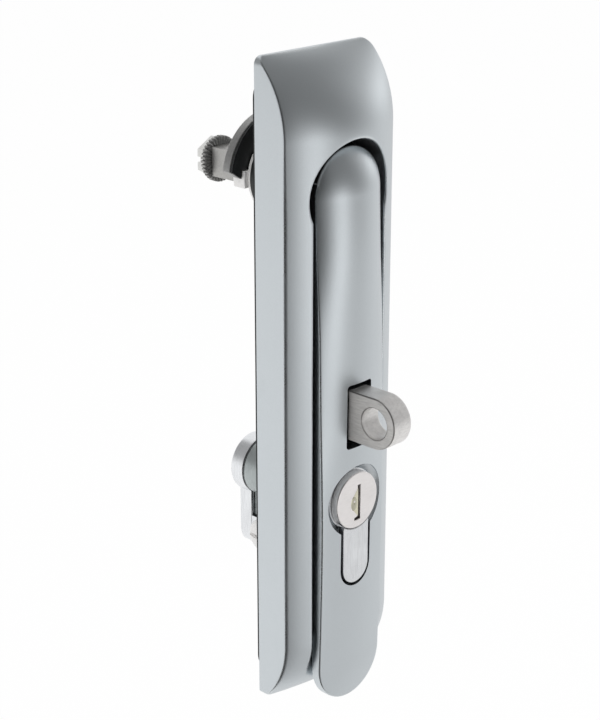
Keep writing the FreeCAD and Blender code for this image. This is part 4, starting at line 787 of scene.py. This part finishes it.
# Half cylinder, plug, bit and clip
lock = {
    "place": -85.1, "radius": 8.5, "leg": 5.0, "legCentre": -104.6, "front": 16.65,
    "legFront": 18.55, "rear": 21.1, "slotFront": 5.9, "slotRear": 16.3, "slotReach": 15.1,
    "headClear": 8.3,
    "head": 8.0, "face": 18.9, "headBack": 16.7, "rotor": 6.4, "rotorRear": 16.25,
    "keySide": 0.8, "keyWide": 0.9, "keyTop": 4.2, "keyLow": -5.8, "keyFoot": 1.3,
    "keyToe": 0.63, "keyEnd": 4.8, "overlap": 0.1, "legSunk": 0.05,
    "pinSide": -1.3, "pinRadius": 0.8, "pinFront": 19.15, "pinBack": 13.2,
    "lensGap": 0.05, "lensWide": 2.3, "lensHalf": 4.0, "lensDrop": 0.6,
    "pearlSide": -1.25, "pearlHeight": -85.75, "pearlHalf": 1.6, "pearlTall": 2.8,
    "pearlBase": 18.5, "pearlRise": 0.62,
    "bitFront": 6.8, "bitRear": 16.2, "bitRing": 8.3, "bitReach": 14.6, "bitHalf": 4.1,
    "bore": 6.45, "clipFront": 5.95, "clipRear": 6.75, "clipOuter": 7.5, "clipGap": 40.0,
    "screwDepth": 11.1, "screwHeight": -103.5, "panRadius": 4.8, "panInner": -5.05, "panSide": 0.9,
    "panRise": 1.9, "panBulge": 0.7, "slotHalf": 0.6, "slotLong": 6.0, "slotOpen": -9.5,
    "slotFloor": -6.45, "shank": 2.45, "shankSunk": 0.3, "shankEnd": 8.0,
}


def legLoop(radius):
    # the leg's sides and round foot below an arc about the plug's centre
    turn = np.degrees(np.arcsin(lock["leg"] / radius))
    return np.concatenate([arcPoints(lock["leg"], 180, 360, 49, (0, lock["legCentre"])),
                           arcPoints(radius, -90 + turn, -90 - turn, 33, (0, lock["place"]))])


centre = (0, lock["place"])
profile = keyholeLoop(lock["radius"], lock["leg"], lock["place"], lock["legCentre"])
plugBore = ring(lock["bore"], 96, centre)
addPiece("halfCylinder", joined([
    prism([profile, plugBore], -lock["front"], lock["slotFront"], 0.15),
    prism([legLoop(lock["slotReach"])], lock["slotFront"] - lock["overlap"],
          lock["slotRear"] + lock["overlap"], 0.0),
    prism([profile], lock["slotRear"], lock["rear"], 0.45, 4),
]), leverBody, ["cylinder_body"], nickelBody)
cylinderLeg = prism([legLoop(lock["headClear"])], -lock["legFront"],
                    -lock["front"] + lock["legSunk"], 0.25)
addPiece("cylinderLeg", cylinderLeg, leverBody, [], nickelBody)

slotRight, slotLeft = lock["keySide"] + lock["keyWide"] / 2, lock["keySide"] - lock["keyWide"] / 2
footLeft = slotLeft - lock["keyFoot"]
keyway = np.array([
    (slotRight, lock["keyTop"]), (slotLeft, lock["keyTop"]),
    (slotLeft, lock["keyLow"] + lock["keyWide"]), (footLeft, lock["keyLow"] + lock["keyToe"]),
    (footLeft, lock["keyLow"]), (slotRight, lock["keyLow"])]) + centre
# The brass core shows in a lens left of the key's slot: a parabola whose ends meet the slot
lensTurn = np.linspace(-1, 1, 25)
lens = np.column_stack([
    slotLeft - lock["lensGap"] - lock["lensWide"] * (1 - lensTurn ** 2),
    lock["place"] - lock["lensDrop"] + lock["lensHalf"] * lensTurn])
lens = np.vstack([lens, lens[:1]])
# and a worn pin end swells out of it: a shallow dome of two half widths
share = np.linspace(0, np.pi / 2, 14)
dome = np.column_stack([np.cos(share), -lock["pearlBase"] - lock["pearlRise"] * np.sin(share)])
pearl, pearlFaces = lathe(dome[::-1], count=48)
pearl[:, 0] = lock["pearlSide"] + lock["pearlHalf"] * pearl[:, 0]
pearl[:, 2] = lock["pearlHeight"] + lock["pearlTall"] * pearl[:, 2]
headLoop, rotorLoop = ring(lock["head"], 160, centre), ring(lock["rotor"], 96, centre)
addPiece("lockPlug", joined([
    prism([headLoop, keyway], -lock["face"], -lock["headBack"], 0.35, 4),
    prism([rotorLoop, keyway], -lock["headBack"], -lock["keyEnd"], 0.0),
    prism([rotorLoop], -lock["keyEnd"] - lock["overlap"], lock["rotorRear"], 0.1),
]), plugBody, ["cylinder_plug"], nickel)
brassCore = prism([lens[::-1]], -lock["face"] - 0.03, -lock["face"] + 0.4, 0.02)
addPiece("brassCore", brassCore, plugBody, [], brass, 35.0, False)
addPiece("pinEnd", (pearl, pearlFaces), plugBody, [], pinBrass, 80.0, False)
pinTurn = np.linspace(0, np.pi / 2, 12)
pinTip = np.column_stack([lock["pinRadius"] * np.cos(pinTurn),
                          -lock["pinFront"] + lock["pinRadius"] * (1 - np.sin(pinTurn))])
pinBack = [(0.0, -lock["pinBack"]), (lock["pinRadius"], -lock["pinBack"])]
keyPin = lathe(np.concatenate([pinBack, pinTip]), (lock["pinSide"], lock["place"]), 40)
addPiece("keyPin", keyPin, plugBody, ["key_pin"], nickel, 50.0, False)

noseTurn = np.degrees(np.arcsin(lock["bitHalf"] / lock["bitReach"]))
ringTurn = np.degrees(np.arcsin(lock["bitHalf"] / lock["bitRing"]))
bitLoop = np.concatenate([arcPoints(lock["bitRing"], -90 + ringTurn, 270 - ringTurn, 73, centre),
                          arcPoints(lock["bitReach"], -90 - noseTurn, -90 + noseTurn, 17, centre)])
addPiece("lockBit", prism([bitLoop, plugBore], lock["bitFront"], lock["bitRear"], 0.35), plugBody,
         ["lock_bit"], platedSteel)
clipStart, clipEnd = 90 + lock["clipGap"], 450 - lock["clipGap"]
clipLoop = np.concatenate([arcPoints(lock["clipOuter"], clipStart, clipEnd, 73, centre),
                           arcPoints(lock["bore"], clipEnd, clipStart, 73, centre)])
addPiece("plugClip", prism([clipLoop], lock["clipFront"], lock["clipRear"], 0.15), plugBody,
         ["plug_clip"], zincSteel)

screwCentre, panInner = (lock["screwDepth"], lock["screwHeight"]), lock["panInner"]
rise = np.linspace(0, np.pi / 2, 12)
panDome = np.column_stack([lock["panRadius"] * np.cos(rise) ** lock["panBulge"],
                           panInner - lock["panSide"] - lock["panRise"] * np.sin(rise),
                           np.where(rise < 0.5, 0.6, 0.0)])
panHead = np.concatenate([[(0.0, panInner, 0.0), (lock["panRadius"], panInner, 0.2)], panDome])
shank = cornerBox(0.0, lock["shank"], panInner - lock["shankSunk"], lock["shankEnd"])
slotSize = np.array([lock["slotLong"], lock["slotHalf"]])
panScrew = carve(makeMesh("cylinderScrew", *lathe(panHead, screwCentre, 72, "X"), 40.0),
                 [prism([screwCentre + slotSize * unitSquare], lock["slotOpen"],
                        lock["slotFloor"], 0.0, axis="X")],
                 [lathe(shank, screwCentre, 48, "X")])
dress(panScrew, leverBody, ["cylinder_screw"], paleZinc)
print("lock made")


# Spindle, collar, stop ring and half discs behind the door
rear = {
    "collar": 11.3, "collarBore": 9.05, "collarFront": -1.5, "collarRear": 9.6,
    "ring": 10.7, "ringBore": 6.0, "ringRear": 11.0, "lugOuter": 12.0, "lugInner": 6.5,
    "lugFoot": 2.5, "lugTop": 2.05, "lugRear": 15.0,
    "flange": 5.7, "flangeFront": 9.65, "flangeRear": 10.8, "journal": 4.5, "journalFront": -4.0,
    "square": 4.0, "squareRear": 31.5, "tapped": 3.0,
    "disc": 16.3, "discFront": 11.9, "discRear": 14.6, "discEdge": 2.35, "hub": 6.2,
    "squareGap": 4.05, "hook": 12.35, "hookWide": 0.4, "hookDrop": 2.15, "hookTaper": 0.2,
    "liner": 16.0, "linerFront": 11.3,
    "washer": 6.3, "washerFront": 31.55, "washerRear": 33.35, "teeth": 36, "tooth": 0.6,
    "serration": 0.22, "hexAcross": 10.0, "hexFront": 33.4, "hexRear": 36.1, "screw": 2.95,
    "slotHalf": 0.8, "slotLong": 9.0, "slotDeep": 1.35, "slotPast": 3.0, "screwFront": 19.9,
    "screwSunk": 0.5, "overlap": 0.3, "rimInset": 0.25, "toothHalf": 0.36, "toothFlank": 0.1,
    "faceShares": (0.0, 0.1, 0.25, 0.55, 0.85, 0.96),
}
collar = turnedProfile(cornerBox(rear["collarBore"], rear["collar"], rear["collarFront"],
                                 rear["collarRear"]), 0.4)
addPiece("doorCollar", lathe(collar, count=144), rootBody, ["door_collar"],
         blackPlastic, 40.0)


def lugLoop(turned):
    # a lug of the stop ring between two radii; the second is the first turned by a quarter
    low, high = -rear["lugFoot"], rear["lugTop"]
    heights = np.linspace(-low, -high, 13) if turned else np.linspace(high, low, 13)
    outside = np.column_stack([-np.sqrt(rear["lugOuter"] ** 2 - heights ** 2), heights])
    inside = np.column_stack([-np.sqrt(rear["lugInner"] ** 2 - heights[::-1] ** 2), heights[::-1]])
    loop = np.concatenate([outside, inside])
    return np.column_stack([-loop[:, 1], loop[:, 0]]) if turned else loop


lugs = [prism([lugLoop(turned)], rear["ringRear"] - rear["overlap"], rear["lugRear"], 0.3)
        for turned in (False, True)]
ringPlate = prism([ring(rear["ring"], 128), ring(rear["ringBore"], 96)], rear["collarRear"],
                  rear["ringRear"], 0.25)
addPiece("stopRing", joined([ringPlate, *lugs]), rootBody, ["stop_ring"], paleZinc)

flange = turnedProfile([
    (0.0, rear["journalFront"]), (rear["journal"], rear["journalFront"]),
    (rear["journal"], rear["flangeFront"]), (rear["flange"], rear["flangeFront"]),
    (rear["flange"], rear["flangeRear"]), (0.0, rear["flangeRear"])], 0.2)
squareBar = prism([rear["square"] * unitSquare, ring(rear["tapped"], 64)],
                  rear["flangeRear"] - rear["overlap"], rear["squareRear"], 0.3)
addPiece("spindleBar", joined([lathe(flange), squareBar]), spindleBody, ["spindle"],
         greySteel)


def halfDiscLoop(radius):
    # half a disc above its straight edge, a hook at its left end, and a round hub below
    edge, hook = rear["discEdge"], rear["hook"]
    lift = np.degrees(np.arcsin(edge / radius))
    hubLift = np.degrees(np.arcsin(edge / rear["hub"]))
    return np.concatenate([
        arcPoints(radius, lift, 180 - lift, 97),
        [(-hook - rear["hookWide"], edge - rear["hookDrop"]), (-hook, edge - rear["hookDrop"]),
         (-hook + rear["hookTaper"], edge)],
        arcPoints(rear["hub"], 180 - hubLift, 360 + hubLift, 65)])


squareHole = rear["squareGap"] * unitSquare
for name, radius, front, back, bevel, slot, node, material in (
        ("limitDisc", rear["disc"], rear["discFront"], rear["discRear"], 0.3, "dark_steel",
         "limit_disc", sinteredSteel),
        ("limitDiscLiner", rear["liner"], rear["linerFront"], rear["discFront"], 0.1,
         "black_plastic", "limit_disc_liner", blackPlastic)):
    addPiece(name, prism([halfDiscLoop(radius), squareHole], front, back, bevel), spindleBody,
             [node], material)


def toothedWasher():
    # A polar grid: the rim steps in and out with the teeth, and both faces rise and fall between
    # the hole and the teeth's roots in as many ridges, to nothing at the hole and the rim.
    count = rear["teeth"] * 12
    turn = np.linspace(0, 2 * np.pi, count, endpoint=False)
    phase = (turn * rear["teeth"] / (2 * np.pi) + 0.5) % 1.0
    crest = np.clip((rear["toothHalf"] - np.abs(phase - 0.5)) / rear["toothFlank"], 0, 1)
    outer = rear["washer"] - rear["tooth"] * (1 - crest)
    ridge = np.abs(2 * phase - 1)
    low, high = rear["washerFront"], rear["washerRear"]
    rings, wears = [], []

    def addRing(radius, depth, wear):
        rings.append(np.column_stack([
            radius * np.cos(turn), np.broadcast_to(depth, count), radius * np.sin(turn)]))
        wears.append(wear)

    for side in (1, -1):
        for part in rear["faceShares"][::side]:
            dip = rear["serration"] * ridge * np.clip(part * 6, 0, 1)
            addRing(rear["tapped"] + (outer - rear["tapped"]) * part,
                    low + dip if side > 0 else high - dip, (1 - ridge) * 0.8 * (part > 0.2))
        if side > 0:
            addRing(outer, low + rear["rimInset"], crest)
            addRing(outer, high - rear["rimInset"], crest)
    table = np.concatenate([np.stack(rings, axis=1), np.stack(wears, axis=1)[..., None]], axis=-1)
    return table.reshape(-1, 4), gridFaces(*table.shape[:2], 0, True, True)


addPiece("toothedWasher", toothedWasher(), spindleBody, ["lock_washer"], toothedSteel,
         28.0, False)
hexLoop = ring(rear["hexAcross"] / np.sqrt(3), 6) @ np.array([[0.0, 1.0], [-1.0, 0.0]])
hexHead = prism([hexLoop], rear["hexFront"], rear["hexRear"], 0.45, 4)
camScrew = makeMesh("camScrew", *hexHead, 35.0, True)
carve(camScrew, [prism([np.array([rear["slotLong"], rear["slotHalf"]]) * unitSquare],
                       rear["hexRear"] - rear["slotDeep"], rear["hexRear"] + rear["slotPast"],
                       0.0)],
      [prism([ring(rear["screw"], 64)], rear["screwFront"],
             rear["hexFront"] + rear["screwSunk"], 0.0)])
dress(camScrew, spindleBody, ["cam_screw"], zincSteel)

keeper = {"inner": 11.35, "outer": 17.6, "low": -93.1, "high": -77.1, "front": -1.5, "rear": 6.3,
          "screwSide": 15.3, "screws": (-79.9, -90.3), "headRadius": 2.2}
keeperPlate = cornerBox(keeper["inner"], keeper["outer"], keeper["low"], keeper["high"])
keeperHoles = [ring(keeper["headRadius"], 40, (keeper["screwSide"], height))
               for height in keeper["screws"]]
addPiece("keeperBlock", prism([keeperPlate, *keeperHoles], keeper["front"], keeper["rear"], 0.4, 4),
         rootBody, ["keeper"], blackPlastic)
print("rear parts made")

# The pieces whose CAD shape is right keep it and take a finish
kept = {
    "gasket": blackRubber, "lever_buffer": blackRubber, "swivel_head": darkSteel,
    "pivot_pin": zincSteel, "eye_screws": zincSteel, "keeper_screws": zincSteel,
}
for name, material in kept.items():
    coat(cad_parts[name].data, material)
print("kept pieces dressed")


# Stage, light and camera
def seenDirectly(start):
    # 1 for the rays that show a backdrop: from the camera, a reflection or through glass
    outputs = start.node("ShaderNodeLightPath").socket.node.outputs
    camera, glossy, through = [Flow(start.tree, outputs["Is %s Ray" % kind])
                               for kind in ("Camera", "Glossy", "Transmission")]
    return start.maths("MINIMUM", camera + glossy + through, 1.0)


def paint(owner, ending, surface):
    # a node tree that holds what the function makes, and its output
    owner.use_nodes = True
    tree = owner.node_tree
    tree.nodes.clear()
    tree.links.new(surface(Flow(tree)).socket, tree.nodes.new(ending).inputs["Surface"])
    return owner


def addStage(name, points, faces, surface):
    # a piece of the studio, which isn't part of the object
    mesh = bpy.data.meshes.new(name)
    mesh.from_pydata(points, [], faces)
    material = bpy.data.materials.new(surface.__name__)
    mesh.materials.append(paint(material, "ShaderNodeOutputMaterial", surface))
    piece = bpy.data.objects.new(name, mesh)
    scene.collection.objects.link(piece)
    return piece


backdrop = {"sky": 0.88, "floor": 0.95, "floorWhite": 0.93}


def skyLight(air):
    # a soft grey that lights the object, and white where it is seen
    soft, white = [air.node("ShaderNodeBackground", values={"Color": grey(level)})
                   for level in (backdrop["sky"], 1.0)]
    return air.node("ShaderNodeMixShader", values={0: seenDirectly(air), 1: soft, 2: white})


def floorPaint(ground):
    # nearly white where it is seen, so that only a trace of shadow is left
    matt = ground.node("ShaderNodeBsdfDiffuse", values={"Color": grey(backdrop["floor"])})
    white = ground.node("ShaderNodeEmission", values={"Color": grey(1.0)})
    share = seenDirectly(ground) * backdrop["floorWhite"]
    return ground.node("ShaderNodeMixShader", values={0: share, 1: matt, 2: white})


def wallPaint(wall):
    # shines as brightly as its attribute says
    level = wall.node("ShaderNodeAttribute", {"attribute_name": "glow"})
    return wall.node("ShaderNodeEmission", values={"Color": level})


scene.world = paint(bpy.data.worlds.new("studio"), "ShaderNodeOutputWorld", skyLight)

topLamp = {"place": (0.4, -0.4, 1.3), "aim": (0, 0, -0.03), "size": 1.2, "power": 4}
light = bpy.data.lights.new("topLamp", "AREA")
light.shape, light.size, light.size_y = "RECTANGLE", topLamp["size"], topLamp["size"]
light.energy = topLamp["power"]
holder = bpy.data.objects.new("topLamp", light)
scene.collection.objects.link(holder)
holder.location, holder.visible_glossy = topLamp["place"], False
heading = Vector(topLamp["aim"]) - Vector(topLamp["place"])
holder.rotation_euler = heading.to_track_quat("-Z", "Y").to_euler()

floorSize = {"half": 3, "height": -0.32}
floorCorners = [(*corner, floorSize["height"]) for corner in floorSize["half"] * unitSquare]
addStage("paleFloor", floorCorners, [(0, 1, 2, 3)], floorPaint)

# A studio wall round the front, which only the object's surfaces see: an upright bowl whose foot
# lies along the floor. It is light low down and dark above, dim at the left, lighter at the
# right, and carries two soft boxes: turn, rise, both widths and strength. Angles are in degrees.
studio = {
    "centre": (0.0, 0.0, -0.06), "reach": 0.9, "foot": 0.255, "left": -180, "right": 128,
    "low": -80, "high": 88, "footLevel": 0.72, "wallLevel": 0.26, "fade": (-15, 2),
    "flag": (-36, -12), "flagLevel": 0.12,
    "rightSide": (25, 78), "rightTop": (25, 62), "rightLevel": 0.40, "rightFoot": 0.16,
    "boxes": ((0.0, -8.0, 9.0, 10.0, 1.2), (84.0, 13.0, 12.0, 9.0, 0.75)),
    "leftEdge": (90, 100), "leftFade": (-6, 18), "leftLow": 1.0, "leftHigh": 0.38,
}


def easedStep(value, span):
    # 0 before the span, 1 after it, and 3 s^2 - 2 s^3 within it
    share = np.clip((value - span[0]) / (span[1] - span[0]), 0, 1)
    return share * share * (3 - 2 * share)


turnGrid, riseGrid = np.meshgrid(np.linspace(studio["left"], studio["right"], 155),
                                 np.linspace(studio["low"], studio["high"], 85))
high, rightward = easedStep(riseGrid, studio["fade"]), easedStep(turnGrid, studio["rightSide"])
glow = studio["footLevel"] * (1 - high) + studio["wallLevel"] * high
glow += rightward * high * (1 - easedStep(riseGrid, studio["rightTop"])) * studio["rightLevel"]
glow += rightward * (1 - high) * studio["rightFoot"]
for across, up, wide, tall, strength in studio["boxes"]:
    glow += strength * np.exp(-0.5 * ((turnGrid - across) / wide) ** 2
                              - 0.5 * ((riseGrid - up) / tall) ** 2)
glow *= studio["flagLevel"] + (1 - studio["flagLevel"]) * easedStep(turnGrid, studio["flag"])
leftHigh = easedStep(riseGrid, studio["leftFade"])
leftGlow = studio["leftLow"] * (1 - leftHigh) + studio["leftHigh"] * leftHigh
glow += (leftGlow - glow) * easedStep(-turnGrid, studio["leftEdge"])
turned, slope = np.radians(turnGrid), np.radians(riseGrid)
reach = np.minimum(studio["reach"], studio["foot"] / np.maximum(-np.sin(slope), 1e-3))
heading = np.stack([np.sin(turned) * np.cos(slope), -np.cos(turned) * np.cos(slope),
                    np.sin(slope)], axis=-1)
wallPoints = (heading * reach[..., None] + studio["centre"]).reshape(-1, 3)
studioWall = addStage("studioWall", wallPoints.tolist(), gridFaces(*turnGrid.shape), wallPaint)
studioWall.data.attributes.new("glow", "FLOAT", "POINT").data.foreach_set("value", glow.ravel())
studioWall.visible_camera = studioWall.visible_diffuse = studioWall.visible_shadow = False

view = {
    "place": (-0.31587, -0.30013, 0.10852), "look": (0.67877, 0.65001, -0.34169),
    "up": (0.24678, 0.23633, 0.93981), "right": (0.6917, -0.7222, 0.0), "lens": 86.45,
}
cameraData = bpy.data.cameras.new("photoView")
cameraData.sensor_fit, cameraData.sensor_width, cameraData.lens = "AUTO", 36.0, view["lens"]
cameraData.clip_start, cameraData.clip_end = 0.01, 20.0
camera = bpy.data.objects.new("photoView", cameraData)
scene.collection.objects.link(camera)
turn = Matrix((view["right"], view["up"], tuple(-part for part in view["look"]))).transposed()
camera.matrix_world = Matrix.Translation(view["place"]) @ turn.to_4x4()
scene.camera = camera
scene.view_settings.view_transform = "Standard"
print("stage made")
